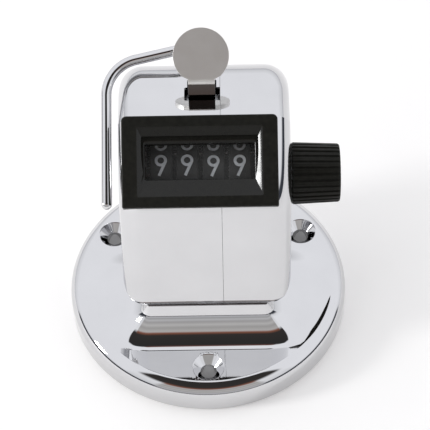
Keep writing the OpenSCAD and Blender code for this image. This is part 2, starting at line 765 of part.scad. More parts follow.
// Torsion spring: one wire wound round a pin, as one unbroken tube
wire_d = 0.5;
wire_sides = 6;
turn_rings = 8;
function coil_point(r, pitch, a) = [pitch * a / 360, r * cos(a), r * sin(a)];
function coil_ring(r, pitch, a) =
    [for (k = [0 : wire_sides - 1]) let (b = 360 * k / wire_sides, q = r + wire_d / 2 * cos(b))
        [pitch * a / 360 + wire_d / 2 * sin(b), q * cos(a), q * sin(a)]];
module torsion_spring(x, y, z, r, pitch, turns) {
    rings = [for (k = [0 : turns * turn_rings]) coil_ring(r, pitch, 360 * k / turn_rings)];
    translate([x, y, z]) skin(rings);
}
spring_pitch = 1;
spring_turns = 5;
spring_gap = min([for (k = [1 : turn_rings]) norm(coil_point(2, spring_pitch, 360 + 45 * k)
    - coil_point(2, spring_pitch, 45 * k))]) - wire_d;
echo(spring_gap = spring_gap);
module lever_spring() {
    color(steel) torsion_spring(arm_left + arm_t + 0.6, pivot_y, pivot_z, pin_d / 2 + wire_d / 2 + 0.1,
                                spring_pitch, spring_turns);
}
module pawl_spring() {
    color(steel) torsion_spring(arm_left + arm_t + 0.4, pawl_y, pawl_z, pawl_pin_d / 2 + wire_d / 2 + 0.1,
                                spring_pitch * 0.95, 2);
}

// Pawl comb: four fingers in the gaps between the rims, on a tube round its pin
pawl_wall = 0.8;
pawl_tube_d = pawl_pin_d + 2 * pawl_wall;
pawl_finger_w = 1.2;
module drive_pawl() {
    color(steel) difference() {
        union() {
            rod(pawl_y, pawl_z, finger_x[0] - 1, arm_right - 0.3, pawl_tube_d);
            for (x = finger_x) across(x, x + finger_t)
                strip([pawl_y, pawl_z], [pawl_tip_y + pawl_finger_w / 2, pawl_tip_z], pawl_finger_w);
        }
        rod(pawl_y, pawl_z, arm_left, arm_right + 2, pawl_pin_d + 2 * run_fit);
    }
}
module pawl_pin() {
    color(steel) rod(pawl_y, pawl_z, arm_left, arm_right + arm_t, pawl_pin_d);
}

// Comb of spring steel that steadies the wheels from below
comb_screw_x = [wheel_x[0] - 1, wheel_x[3] + 1];
comb_screw_y = axis_y - (comb_foot + comb_t) / 2;
bar_top = bar_base_z + bar_h;
module detent_comb() {
    color(steel) difference() {
        union() {
            translate([stack_left, axis_y - comb_foot - comb_t / 2, bar_top])
                cube([stack_right - stack_left, comb_foot + comb_t, comb_t]);
            translate([stack_left, axis_y - comb_t / 2, bar_top])
                cube([stack_right - stack_left, comb_t, comb_back]);
            for (x = finger_x) translate([x, axis_y - comb_t / 2, bar_top])
                cube([finger_t, comb_t, axis_z - ratchet_d / 2 - tooth_gap - bar_top]);
        }
        for (x = comb_screw_x) translate([x, comb_screw_y, bar_top - 1]) cylinder(d = screw_d, h = 3);
    }
}

// Pan-head screw: the head sits on z = 0 and the shank points down
module screw(d, head_d, head_t, len) {
    translate([0, 0, -len]) cylinder(d = d, h = len);
    difference() {
        cylinder(d1 = head_d, d2 = head_d * 0.7, h = head_t);
        translate([-head_d, -0.3, head_t - 0.5]) cube([2 * head_d, 0.6, 1]);
    }
}
module detent_screws() {
    color(steel) for (x = comb_screw_x) translate([x, comb_screw_y, bar_top + comb_t])
        screw(screw_d, screw_head_d, screw_head_t, screw_len);
}
module plate_screws() {
    color(steel) for (p = plate_screw_at) {
        translate([plate_left, p[0], p[1]]) rotate([0, -90, 0])
            screw(screw_d, screw_head_d, screw_head_t, screw_len);
        translate([plate_right + plate_t, p[0], p[1]]) rotate([0, 90, 0])
            screw(screw_d, screw_head_d, screw_head_t, screw_len);
    }
}
// Countersunk screw: its flat head ends at z = 0 and the shank points down
driver_w = 0.6;
driver_depth = 0.4;
module sunk_screw(d, head_d, len) {
    neck = (head_d - d) / 2;
    difference() {
        rotate_extrude() polygon([[0, -len], [d / 2, -len], [d / 2, -neck], [head_d / 2, 0], [0, 0]]);
        translate([-head_d, -driver_w / 2, -driver_depth]) cube([2 * head_d, driver_w, 1]);
    }
}
module case_screws() {
    color(steel) for (p = post_at, side = [-1, 1]) translate([side * case_hw, p[0], p[1]])
        rotate([0, side * 90, 0]) sunk_screw(screw_d, sunk_d, sheet + post_grip);
}
module base_screws() {
    color(steel) for (x = base_screw_x) translate([x, base_screw_y, seat_z - base_wall]) rotate([180, 0, 0])
        screw(base_screw_d, base_head_d, base_head_t, base_wall + sheet + screw_len);
}

base();
left_case();
right_case();
bezel();
lens();
thumb_lever();
lever_bail();
lever_rivets();
finger_hook();
hook_collar();
hook_nut();
reset_knob();
wheel_shaft();
knob_pin();
shaft_clip();
number_wheel_1();
number_wheel_2();
number_wheel_3();
number_wheel_4();
left_plate();
right_plate();
left_bush();
right_bush();
frame_posts();
mount_bar();
lever_pin();
lever_spring();
drive_pawl();
pawl_pin();
pawl_spring();
detent_comb();
detent_screws();
plate_screws();
case_screws();
base_screws();
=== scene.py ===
"""Looks of the desktop tally counter: chrome case on a round base, black bezel, four number wheels.
Sizes below are in millimetres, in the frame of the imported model; meshes are in metres."""
import json
import math

import bmesh
import bpy
from mathutils import Matrix, Vector


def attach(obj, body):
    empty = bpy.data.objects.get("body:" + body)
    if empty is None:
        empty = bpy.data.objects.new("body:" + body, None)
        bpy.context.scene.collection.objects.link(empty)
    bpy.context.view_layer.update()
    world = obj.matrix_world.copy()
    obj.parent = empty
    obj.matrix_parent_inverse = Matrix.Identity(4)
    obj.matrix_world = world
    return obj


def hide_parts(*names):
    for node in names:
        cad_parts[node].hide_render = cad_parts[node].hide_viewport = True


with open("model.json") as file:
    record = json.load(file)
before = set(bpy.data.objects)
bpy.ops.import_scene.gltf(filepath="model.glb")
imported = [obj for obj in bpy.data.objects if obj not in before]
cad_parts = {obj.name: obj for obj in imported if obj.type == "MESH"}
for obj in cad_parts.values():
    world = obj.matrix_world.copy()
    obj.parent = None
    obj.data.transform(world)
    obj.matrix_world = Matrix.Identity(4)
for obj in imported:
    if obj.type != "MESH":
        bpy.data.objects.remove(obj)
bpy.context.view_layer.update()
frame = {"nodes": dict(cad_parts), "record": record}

MM = 0.001

# Base
BASE_R = 35.0
LAND_Z = 8.0
RIM_R = 3.25
RIM_TURNS = ((1.2, 90, 64), (8.0, 64, 52))
RIM_EDGE = 52
BASE_WALL = 2.5
CEILING_R = 2.25
HEEL_R = 0.35
HOLE_CIRCLE_R = 27.75
HOLE_R = 2.0
SINK_R = 3.9
SINK_SOFT = 0.18
SINK_MOUTH = 0.12
BOSS_R = 4.5
BOSS_FIT = 0.03
BOSS_DROP = 0.3
HOLE_ANGLES = (-90, 30, 150)
SEAT_Z = 16.0
SEAT_HALF = 15.5
SEAT_FRONT = -15.6
SEAT_BACK = 3.0
FLARE_REACH = 7.5
SIDE_REACH = 16.0
FOOT_MARGIN = 0.15
FLARE_POWER = 1.2
FLARE_FOOT_R = 3.6
FLARE_R = 11.5
FLARE_TURN = 248
FLARE_TOP = 208
LIP_SLOPE = math.tan(math.radians(22))
SEAT_CORNER = 1.2
SEAT_EDGE = 0.15
CORNER_STEPS = 16
SEAT_STEPS = (48, 30, 48, 30)

# Case
CASE_HALF = 20.7
SHEET = 0.8
DRAW_R = 6.0
FOOT_DRAW_R = 5.5
DRAW_STEPS = 16
FRONT_DIR = 180 - 15
BACK_DIR = 360 - 15
BROW_DIR = 120
BROW_STEPS = 36
BROW_FALL = 8.0
ROOF_DIR = 92
ROOF_RUN = 9.75
TOP_R = 13.6
NOSE_R = 1.5
FOOT_R = 1.8
LEAST_R = 0.2
FOOT_SET = 0.2
FOOT_RISE = 1.0
SEAM_X = 4.0
SEAM_GAP = 0.02
SEAM_LIP = 0.06
INNER_LIP = 0.01

# Face and window
FACE_TILT = math.radians(55)
FACE_SHIFT = 1.0
FACE_MID = Vector((-0.6, SEAT_Z + 38.6))
FACE_U = Vector((math.sin(FACE_TILT), math.cos(FACE_TILT)))
FACE_N = Vector((-math.cos(FACE_TILT), math.sin(FACE_TILT)))
BEZEL_W = 37.0
BEZEL_H = 21.8
BEZEL_PROUD = 1.0
BEZEL_DRAFT = 0.3
BEZEL_DEPTH = 10.0
BEZEL_EDGE = 0.35
BEZEL_TOP_R = 1.2
BEZEL_FOOT_R = 0.45
OPENING_W = BEZEL_W - 3.8
OPENING_H = BEZEL_H - 3.2
SKIRT_FIT = 0.2
WINDOW_W = 26.0
WINDOW_H = 8.5
BEVEL_W = WINDOW_W + 3.6
BEVEL_H = WINDOW_H + 7.9
BEVEL_DEPTH = 1.3
BEVEL_SOFT = 0.1
WINDOW_CORNER = 0.35
PANE_FRONT = 5.2
PANE_BACK = 6.4
PANE_LAP = 3.0
PANE_FIT = 0.2
PANE_EDGE = 0.12

# Wheels and knob
WHEEL_R = 10.2
WHEEL_PITCH = 6.3
WHEEL_GAP = 0.6
RIM_W = 5.2
RIM_T = 1.6
WHEEL_EDGE = 0.15
WEB_T = 1.4
HUB_T = 1.5
TEETH = 10
TOOTH_R = 4.5
TOOTH_ROOT_R = 3.7
TOOTH_RUN = 7
TOOTH_W = 1.6
TOOTH_SET = 0.7
SHAFT_R = 2.0
BORE_FIT = 0.04
AXIS_DROP = 2.0
AXIS = FACE_MID - (PANE_BACK + WHEEL_GAP + WHEEL_R) * FACE_N - AXIS_DROP * FACE_U
WHEEL_X = [-FACE_SHIFT + (i - 1.5) * WHEEL_PITCH for i in range(4)]
KNOB_GAP = 0.3
KNOB_X = CASE_HALF + KNOB_GAP
KNOB_LEN = 11.8
KNOB_R = 7.6
KNOB_TIP_R = 7.1
KNOB_RIBS = 30
RIB_STEPS = 16
GROOVE_DEPTH = 0.36

# Side outline of the case: a front wall, a broad brow, a nose, a flat roof and a round back


def polar(degrees):
    angle = math.radians(degrees)
    return Vector((math.cos(angle), math.sin(angle)))


FLUSH = FACE_MID + BEZEL_H / 2 * FACE_U - BEZEL_PROUD * FACE_N
TOP = FLUSH + Vector((ROOF_RUN, -(TOP_R + ROOF_RUN * polar(ROOF_DIR).x) / polar(ROOF_DIR).y))
ROOF_Z = TOP.y + TOP_R
FRONT_REACH = Vector((SEAT_FRONT + FOOT_SET, SEAT_Z + FOOT_RISE)).dot(polar(FRONT_DIR))
BROW_RUN = (FRONT_REACH - FLUSH.dot(polar(FRONT_DIR))) / polar(FRONT_DIR - BROW_DIR).y
BROW = FLUSH + BROW_RUN * polar(BROW_DIR + 90)
BROW_FOOT = BROW + BROW_FALL * polar(FRONT_DIR + 90)
BACK_REACH = TOP.dot(polar(BACK_DIR)) + TOP_R
NOSE_LEAN = (polar(ROOF_DIR) + polar(BROW_DIR)) / (1 + polar(ROOF_DIR).dot(polar(BROW_DIR)))


def blend(a, b, share):
    return a + (b - a) * share


def arc(middle, radius, start, end, steps):
    return [middle + radius * polar(start + (end - start) * i / steps) for i in range(steps + 1)]


def corner_mid(direction, reach, inset, radius):
    """Middle of a lower corner that touches the seat and a wall."""
    z = SEAT_Z + inset + radius
    side = polar(direction)
    return Vector(((reach - inset - radius - z * side.y) / side.x, z))


def case_outline(upper, lower):
    """Side outline, drawn in by one inset round the back and the roof and by another at the front's foot.
    Each point comes with its share of the lower inset."""
    back_r = max(FOOT_R - upper, LEAST_R)
    front_r = max(FOOT_R - lower, LEAST_R)
    nose_r = max(NOSE_R - upper, LEAST_R)
    back = corner_mid(BACK_DIR, BACK_REACH, upper, back_r)
    front = corner_mid(FRONT_DIR, FRONT_REACH, lower, front_r)
    nose = FLUSH - (upper + nose_r) * NOSE_LEAN
    steady = (arc(back, back_r, 270, BACK_DIR, 8)
              + arc(TOP, TOP_R - upper, BACK_DIR - 360, ROOF_DIR, 54)
              + arc(nose, nose_r, ROOF_DIR, BROW_DIR, 6))
    brow = []
    for i in range(1, BROW_STEPS + 1):
        share = i / BROW_STEPS
        before = blend(FLUSH, BROW, share)
        after = blend(BROW, BROW_FOOT, share)
        along = (after - before).normalized()
        out = Vector((along.y, -along.x))
        brow.append((blend(before, after, share) - blend(upper, lower, share) * out, share))
    return [(p, 0) for p in steady] + brow + [(p, 1) for p in arc(front, front_r, FRONT_DIR, 270, 8)]


def case_ring(x_upper, x_lower, upper, lower):
    return [(blend(x_upper, x_lower, share), p.x, p.y) for p, share in case_outline(upper, lower)]


def drawn_end(side, inset):
    """Rings over the drawn corner of a cup, from its straight wall to its end face."""
    end_x = side * (CASE_HALF - inset)
    upper_r = DRAW_R - inset
    lower_r = FOOT_DRAW_R - inset
    rings = []
    for i in range(DRAW_STEPS + 1):
        swing = polar(90 * i / DRAW_STEPS)
        shift = side * (1 - swing.y)
        drop = 1 - swing.x
        rings.append(case_ring(end_x - upper_r * shift, end_x - lower_r * shift,
                               inset + upper_r * drop, inset + lower_r * drop))
    return rings


# Modelling helpers


def deselect():
    if bpy.context.object and bpy.context.object.mode != "OBJECT":
        bpy.ops.object.mode_set(mode="OBJECT")
    bpy.ops.object.select_all(action="DESELECT")


def only(piece):
    deselect()
    piece.select_set(True)
    bpy.context.view_layer.objects.active = piece


def in_edit(piece):
    only(piece)
    bpy.ops.object.mode_set(mode="EDIT")
    bpy.ops.mesh.select_all(action="SELECT")


def apply(piece, kind, **settings):
    only(piece)
    modifier = piece.modifiers.new(kind.lower(), kind)
    for key, value in settings.items():
        setattr(modifier, key, value)
    bpy.ops.object.modifier_apply(modifier=modifier.name)


def loft(name, rings, closed=False):
    """A circle extruded from ring to ring. The ends are filled, or joined to each other if closed."""
    count = len(rings[0])
    if closed:
        rings = rings + [rings[0]]
    deselect()
    bpy.ops.mesh.primitive_circle_add(vertices=count, radius=MM)
    piece = bpy.context.object
    piece.name = name
    bpy.ops.object.mode_set(mode="EDIT")
    for k, ring in enumerate(rings):
        if k:
            bpy.ops.mesh.extrude_edges_move()
        mesh = bmesh.from_edit_mesh(piece.data)
        mesh.verts.ensure_lookup_table()
        for vertex, place in zip(mesh.verts[k * count:], ring):
            vertex.co = Vector(place) * MM
        bmesh.update_edit_mesh(piece.data)
    bpy.ops.mesh.select_all(action="SELECT")
    if closed:
        bpy.ops.mesh.remove_doubles(threshold=0.0001 * MM)
    else:
        bpy.ops.mesh.fill_holes(sides=0)
    bpy.ops.mesh.normals_make_consistent(inside=False)
    bpy.ops.object.mode_set(mode="OBJECT")
    return piece


def turned(name, profile, middle, axis, steps):
    """A closed profile of (radius, place along the axis) turned all the way round."""
    along = Vector(axis)
    out = along.orthogonal().normalized()
    places = [Vector(middle) + r * out + h * along for r, h in profile]
    deselect()
    bpy.ops.mesh.primitive_circle_add(vertices=len(places), radius=MM)
    piece = bpy.context.object
    piece.name = name
    bpy.ops.object.mode_set(mode="EDIT")
    mesh = bmesh.from_edit_mesh(piece.data)
    for vertex, place in zip(mesh.verts, places):
        vertex.co = place * MM
    bmesh.update_edit_mesh(piece.data)
    bpy.ops.mesh.spin(steps=steps, angle=2 * math.pi, center=Vector(middle) * MM, axis=along)
    bpy.ops.mesh.select_all(action="SELECT")
    bpy.ops.mesh.remove_doubles(threshold=0.001 * MM)
    bpy.ops.mesh.normals_make_consistent(inside=False)
    bpy.ops.object.mode_set(mode="OBJECT")
    return piece


def combine(piece, tool, operation):
    """Joins, cuts or intersects piece with a tool, which is used up."""
    apply(piece, "BOOLEAN", object=tool, operation=operation, solver="EXACT")
    bpy.data.objects.remove(tool)
    return piece


def cut(piece, tool):
    return combine(piece, tool, "DIFFERENCE")


def fuse(piece, tool):
    return combine(piece, tool, "UNION")


def join(name, pieces):
    deselect()
    for piece in pieces:
        piece.select_set(True)
    bpy.context.view_layer.objects.active = pieces[0]
    bpy.ops.object.join()
    bpy.context.object.name = name
    return bpy.context.object


def smooth(piece, degrees=32):
    only(piece)
    bpy.ops.object.shade_smooth_by_angle(angle=math.radians(degrees))
    apply(piece, "WEIGHTED_NORMAL", mode="FACE_AREA", weight=60, keep_sharp=True)


def dress(piece, material, body, slot, *nodes):
    """Gives a finished piece its material, its body and the CAD nodes that it stands for."""
    piece.data.materials.clear()
    piece.data.materials.append(material)
    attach(piece, body)
    if nodes:
        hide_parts(*nodes)


def circle(steps=48):
    """Points round a circle of radius one."""
    return arc(Vector((0, 0)), 1, 0, 360, steps)[1:]


def rod(name, y, z, x0, x1, radius):
    """Round bar along x, used as a cutter."""
    ring = [(y + radius * p.x, z + radius * p.y) for p in circle()]
    return loft(name, [[(x, *p) for p in ring] for x in (x0, x1)])


def post(name, x, y, z0, z1, radius):
    """Round bar along z, used as a cutter."""
    ring = [(x + radius * p.x, y + radius * p.y) for p in circle()]
    return loft(name, [[(*p, z) for p in ring] for z in (z0, z1)])


def rounded_rectangle(w, h, top_r, foot_r, steps=6):
    """Points round a rectangle about the middle, with its own corner radius at the top and at the foot."""
    points = []
    corners = ((1, 1, top_r, 0), (-1, 1, top_r, 90), (-1, -1, foot_r, 180), (1, -1, foot_r, 270))
    for sx, sy, radius, start in corners:
        middle = Vector((sx * (w / 2 - radius), sy * (h / 2 - radius)))
        points += arc(middle, radius, start, start + 90, steps)
    return points


def on_face(points, depth):
    """Ring in the frame of the face, depth behind it."""
    ring = []
    for p in points:
        place = FACE_MID + p.y * FACE_U - depth * FACE_N
        ring.append((p.x - FACE_SHIFT, place.x, place.y))
    return ring


# Materials


def material(name, colour, metallic, roughness, **sockets):
    made = bpy.data.materials.new(name)
    made.use_nodes = True
    shader = made.node_tree.nodes["Principled BSDF"]
    shader.inputs["Base Color"].default_value = (*colour, 1)
    shader.inputs["Metallic"].default_value = metallic
    shader.inputs["Roughness"].default_value = roughness
    for key, value in sockets.items():
        shader.inputs[key.replace("_", " ")].default_value = value
    return made


def node(made, kind, **settings):
    new = made.node_tree.nodes.new(kind)
    for key, value in settings.items():
        if key in new.inputs:
            new.inputs[key].default_value = value
        else:
            setattr(new, key, value)
    return new


def link(made, source, target):
    made.node_tree.links.new(source, target)


def object_place(made, stretch=(1, 1, 1)):
    """Object coordinates, drawn out along an axis where stretch is small."""
    place = node(made, "ShaderNodeTexCoord")
    mapping = node(made, "ShaderNodeMapping", Scale=stretch)
    link(made, place.outputs["Object"], mapping.inputs["Vector"])
    return mapping.outputs["Vector"]


def noise(made, scale, detail=3.0, stretch=(1, 1, 1)):
    texture = node(made, "ShaderNodeTexNoise", Scale=scale, Detail=detail)
    link(made, object_place(made, stretch), texture.inputs["Vector"])
    return texture.outputs["Fac"]


def between(made, value, low, high, start=0.3, end=0.7):
    """Maps a texture's middle range onto a range of its own."""
    spread = node(made, "ShaderNodeMapRange")
    for key, number in (("From Min", start), ("From Max", end), ("To Min", low), ("To Max", high)):
        spread.inputs[key].default_value = number
    link(made, value, spread.inputs["Value"])
    return spread.outputs["Result"]


def shader_of(made):
    return made.node_tree.nodes["Principled BSDF"]


def set_roughness(made, value):
    link(made, value, shader_of(made).inputs["Roughness"])


def bump(made, height, strength, distance, under=None):
    relief = node(made, "ShaderNodeBump", Strength=strength, Distance=distance * MM)
    link(made, height, relief.inputs["Height"])
    if under:
        link(made, under, relief.inputs["Normal"])
    link(made, relief.outputs["Normal"], shader_of(made).inputs["Normal"])
    return relief.outputs["Normal"]


def tint(made, value, dark, light):
    """Base colour that goes from dark to light with a value."""
    colours = node(made, "ShaderNodeMix", data_type="RGBA")
    colours.inputs[6].default_value = (*dark, 1)
    colours.inputs[7].default_value = (*light, 1)
    link(made, value, colours.inputs[0])
    link(made, colours.outputs[2], shader_of(made).inputs["Base Color"])


def chrome_plate():
    made = material("chrome_plate", (0.66, 0.66, 0.67), 1, 0.03)
    smudges = noise(made, 90, 4)
    tint(made, between(made, smudges, 0, 1), (0.645, 0.645, 0.655), (0.675, 0.675, 0.685))
    set_roughness(made, between(made, noise(made, 260, 5), 0.015, 0.04))
    waves = bump(made, noise(made, 55, 1), 0.02, 0.2)
    bump(made, noise(made, 2600, 2, (1, 0.06, 1)), 0.005, 0.03, waves)
    return made


def brushed_nickel(name, rough, level):
    made = material(name, (level, level, level), 1, rough)
    lines = noise(made, 12000, 2, (0.03, 1, 1))
    dark = (level, 0.985 * level, 0.95 * level)
    light = (1.05 * level, 1.04 * level, 1.01 * level)
    tint(made, between(made, noise(made, 220, 3), 0, 1), dark, light)
    set_roughness(made, between(made, lines, rough - 0.03, rough + 0.05))
    bump(made, lines, 0.03, 0.02)
    return made


def moulded_black(name, low, high, rough, grain, shine):
    made = material(name, low, 0, rough, Specular_IOR_Level=shine)
    specks = noise(made, 900, 3)
    tint(made, between(made, specks, 0, 1), low, high)
    set_roughness(made, between(made, noise(made, 300, 4), rough - 0.06, rough + 0.08))
    bump(made, noise(made, 6500, 2), grain, 0.06)
    return made


def clear_pane():
    """A thin clear sheet: light passes, and a faint grey layer on it, uneven like smudges, is painted
    reflection of the room.
    """
    # The grey base colour, kept to about a tenth by alpha, is painted reflection: it stands in for the
    # pane's mirror of the white room. The noise on alpha is uneven smudges.
    made = material("clear_pane", (0.28, 0.285, 0.28), 0, 0.05)
    smudged_painted_reflection = noise(made, 300, 4)
    link(made, between(made, smudged_painted_reflection, 0.085, 0.115), shader_of(made).inputs["Alpha"])
    set_roughness(made, between(made, noise(made, 400, 4), 0.02, 0.08))
    return made


def plain_metal(name, dark, light, rough, stretch=(0.1, 1, 1)):
    made = material(name, dark, 1, rough)
    lines = noise(made, 2500, 3, stretch)
    tint(made, between(made, noise(made, 200, 3), 0, 1), dark, light)
    set_roughness(made, between(made, lines, rough - 0.07, rough + 0.08))
    bump(made, lines, 0.06, 0.03)
    return made


def numeral_white():
    made = material("numeral_white", (0.8, 0.83, 0.86), 0, 0.5)
    tint(made, between(made, noise(made, 1500, 4), 0, 1), (0.66, 0.70, 0.74), (0.84, 0.87, 0.9))
    bump(made, noise(made, 5000, 2), 0.1, 0.02)
    return made


CHROME = chrome_plate()
NICKEL = brushed_nickel("brushed_nickel", 0.42, 0.74)
# The neck is the same nickel as the pad. Its much darker colour is painted shade, standing in for the dark
# slot that the neck mirrors.
NECK_NICKEL_PAINTED_DARK = brushed_nickel("neck_nickel_painted_dark", 0.09, 0.2)
BEZEL_BLACK = moulded_black("bezel_black", (0.009, 0.009, 0.0075), (0.015, 0.015, 0.012), 0.42, 0.22, 0.15)
BEVEL_BLACK = moulded_black("bevel_black", (0.008, 0.008, 0.007), (0.011, 0.011, 0.009), 0.12, 0.02, 0.3)
KNOB_BLACK = moulded_black("knob_black", (0.01, 0.01, 0.008), (0.016, 0.016, 0.013), 0.4, 0.15, 0.12)
WHEEL_BLACK = moulded_black("wheel_black", (0.02, 0.02, 0.02), (0.028, 0.028, 0.028), 0.5, 0.15, 0.3)
NUMERAL = numeral_white()
PANE = clear_pane()
STEEL = plain_metal("bright_steel", (0.50, 0.51, 0.53), (0.62, 0.63, 0.65), 0.26)
SPRING = plain_metal("spring_steel", (0.40, 0.42, 0.45), (0.52, 0.54, 0.57), 0.3)
ZINC = plain_metal("zinc_plate", (0.56, 0.57, 0.58), (0.68, 0.69, 0.69), 0.28, (1, 1, 0.2))
BRASS = plain_metal("plain_brass", (0.66, 0.5, 0.22), (0.8, 0.64, 0.34), 0.3)
CAD_FINISH = {"chrome": CHROME, "brushed_nickel": NICKEL, "black_moulding": BEZEL_BLACK,
              "knob_plastic": KNOB_BLACK, "wheel_plastic": WHEEL_BLACK, "clear_pane": PANE,
              "bright_steel": STEEL, "spring_steel": SPRING, "screw_steel": ZINC, "brass": BRASS}


def dress_cad_nodes():
    """Every CAD node gets the finish of its slot; those that are replaced are hidden later."""
    for row in frame["record"]["subparts"]:
        mesh = frame["nodes"][row["node"]].data
        mesh.materials.clear()
        mesh.materials.append(CAD_FINISH[row["material_slot"]])


# Pieces


def pedestal_spokes():
    """Points round the seat's outline, each with the run of the flare out from it. The flare runs further
    to the sides than to the front and back, and ends inside the rim."""
    wide = SEAT_HALF - SEAT_CORNER
    deep = (SEAT_BACK - SEAT_FRONT) / 2 - SEAT_CORNER
    middle = Vector((0, (SEAT_FRONT + SEAT_BACK) / 2))
    corners = [(Vector((wide, deep)), 0), (Vector((-wide, deep)), 90), (Vector((-wide, -deep)), 180),
               (Vector((wide, -deep)), 270)]
    rows = []
    for k, count in enumerate(SEAT_STEPS):
        corner, start = corners[k]
        following = corners[(k + 1) % 4][0]
        rows += [(corner + middle, polar(start + 90 * i / CORNER_STEPS)) for i in range(CORNER_STEPS + 1)]
        rows += [(blend(corner, following, i / count) + middle, polar(start + 90)) for i in range(1, count)]
    spokes = []
    limit = BASE_R - RIM_R - FOOT_MARGIN
    for root, out in rows:
        side = math.copysign(abs(out.x) ** FLARE_POWER, out.x)
        forward = math.copysign(abs(out.y) ** FLARE_POWER, out.y)
        run = Vector((SIDE_REACH * side, FLARE_REACH * forward))
        seat = root + SEAT_CORNER * out
        a = run.length_squared
        b = seat.dot(run)
        most = (math.sqrt(b * b - a * (seat.length_squared - limit ** 2)) - b) / a
        spokes.append((root, out, run * min(1, most)))
    return spokes


def pedestal_ring(spokes, grow):
    """One ring of the flare, or of the lip above it where grow is below zero."""
    share = max(grow, 0) / FLARE_REACH
    return [root + (SEAT_CORNER + min(grow, 0)) * out + share * run for root, out, run in spokes]


def base_section():
    """Half section of the plate: the hollow's ceiling, the inner wall, the heel and the rim."""
    rim = [Vector((BASE_R - RIM_R, LAND_Z))]
    for radius, start, end in RIM_TURNS:
        rim += arc(rim[-1] - radius * polar(start), radius, start, end, 8)[1:]
    last_r = (BASE_R - rim[-1].x) / (1 - polar(RIM_EDGE).x)
    rim += arc(rim[-1] - last_r * polar(RIM_EDGE), last_r, RIM_EDGE, 0, 16)[1:]
    wall = BASE_R - BASE_WALL
    ceiling = arc(Vector((wall - CEILING_R, LAND_Z - BASE_WALL - CEILING_R)), CEILING_R, 90, 0, 10)
    heel = arc(Vector((BASE_R - HEEL_R, HEEL_R)), HEEL_R, -90, 0, 4)
    return ceiling + [Vector((wall, 0))] + heel + rim[::-1]


def flare_section():
    """Steps of the flare from the land up to the seat: distance out from the seat, and height."""
    flare = arc(Vector((FLARE_REACH, LAND_Z + FLARE_FOOT_R)), FLARE_FOOT_R, 270, FLARE_TURN, 10)
    flare += arc(flare[-1] - FLARE_R * polar(FLARE_TURN), FLARE_R, FLARE_TURN, FLARE_TOP, 24)[1:]
    top = flare[-1].x - (SEAT_Z - SEAT_EDGE - flare[-1].y) * LIP_SLOPE
    edge = ((0, SEAT_EDGE), (0.06, 0.04), (SEAT_EDGE, 0))
    return flare + [Vector((top - inward, SEAT_Z - below)) for inward, below in edge]


def cut_screw_hole(base, place):
    """Countersunk hole with a softened edge, and the sleeve under it."""
    sink = LAND_Z - (SINK_R - HOLE_R)
    mouth = SINK_R + SINK_MOUTH
    steps = [(HOLE_R, LAND_Z - 4), (HOLE_R, sink), (SINK_R - SINK_SOFT, LAND_Z - SINK_SOFT),
             (SINK_R, LAND_Z - 0.05), (mouth, LAND_Z + 0.02), (mouth, LAND_Z + 2)]
    ring = circle(72)
    rings = [[(place.x + r * p.x, place.y + r * p.y, z) for p in ring] for r, z in steps]
    cut(base, loft("screw_hole", rings))
    bore = HOLE_R + BOSS_FIT
    top = sink - BOSS_DROP
    sleeve = [(bore, 0), (BOSS_R, 0), (BOSS_R, top), (bore, top)]
    fuse(base, turned("boss", sleeve, (place.x, place.y, 0), (0, 0, 1), 48))


def make_base():
    """One skin from the hollow's ceiling round the rim, over the flat land and up the flare to the seat."""
    spokes = pedestal_spokes()
    round_about = [p.normalized() for p in pedestal_ring(spokes, FLARE_REACH)]
    rings = [[(*(p.x * s), p.y) for s in round_about] for p in base_section()]
    rings += [[(*p, step.y) for p in pedestal_ring(spokes, step.x)] for step in flare_section()]
    base = loft("base_plate", rings)
    middle = (SEAT_FRONT + SEAT_BACK) / 2
    depth = SEAT_BACK - SEAT_FRONT - 2 * BASE_WALL
    hollow = rounded_rectangle(2 * (SEAT_HALF - BASE_WALL), depth, 0.5, 0.5, 3)
    cut(base, loft("hollow", [[(p.x, p.y + middle, z) for p in hollow] for z in (1, SEAT_Z - BASE_WALL)]))
    for angle in HOLE_ANGLES:
        cut_screw_hole(base, HOLE_CIRCLE_R * polar(angle))
    smooth(base)
    dress(base, CHROME, "stand", "chrome", "base")


def cup_solid(name, edge_x, side, inset, lip):
    """Drawn cup from its open edge to its round-cornered end, with a small round on the edge."""
    edge = ((0, 1), (0.3, 0.3), (1, 0))
    mouth = [(edge_x + side * along * lip, inset + drop * lip) for along, drop in edge]
    return loft(name, [case_ring(x, x, drawn, drawn) for x, drawn in mouth] + drawn_end(side, inset))


def whole_case(name):
    """Both cups as one solid, for cutting what lies on the case."""
    return loft(name, drawn_end(-1, 0)[::-1] + drawn_end(1, 0))


# Slot, finger hook and case screws
NECK_X = -0.35
NECK_W = 6.4
SLOT_FRONT = FLUSH.x + 4.55
SLOT_STEP = SLOT_FRONT + 4.05
NECK_Y = SLOT_FRONT + 0.9
SLOT_BACK = NECK_Y + 5.6
SLOT_SIDE = 1.0
PASS_GAP = 0.3
HOOK_R = 1.3
HOOK_DIR = math.radians(28)
HOOK_SWING = math.radians(77.6)
HOOK_BEND = 9.0
HOOK_TURN = 3.0
HOOK_FIT = 0.05
HOOK_DEPTH = 6.8
HOOK_ALONG = Vector((0, math.cos(HOOK_DIR), math.sin(HOOK_DIR)))
HOOK_UP = Vector((0, -math.sin(HOOK_DIR), math.cos(HOOK_DIR)))
HOOK_DOWN = Vector((0, 0, -1))
HOOK_OVER = math.sin(HOOK_SWING) * Vector((1, 0, 0)) + math.cos(HOOK_SWING) * HOOK_ALONG
HOOK_TIP = Vector((-CASE_HALF - 1.4 - HOOK_R, -5.5, SEAT_Z + 28.9))
HOOK_SEAT = TOP + TOP_R * polar(46.3)
HOOK_END_X = -4.0
HOOK_SPAN = (HOOK_END_X - HOOK_TIP.x - HOOK_BEND * (1 - math.cos(HOOK_SWING))) / math.sin(HOOK_SWING)
HOOK_REACH = HOOK_SEAT.x - HOOK_TIP.y
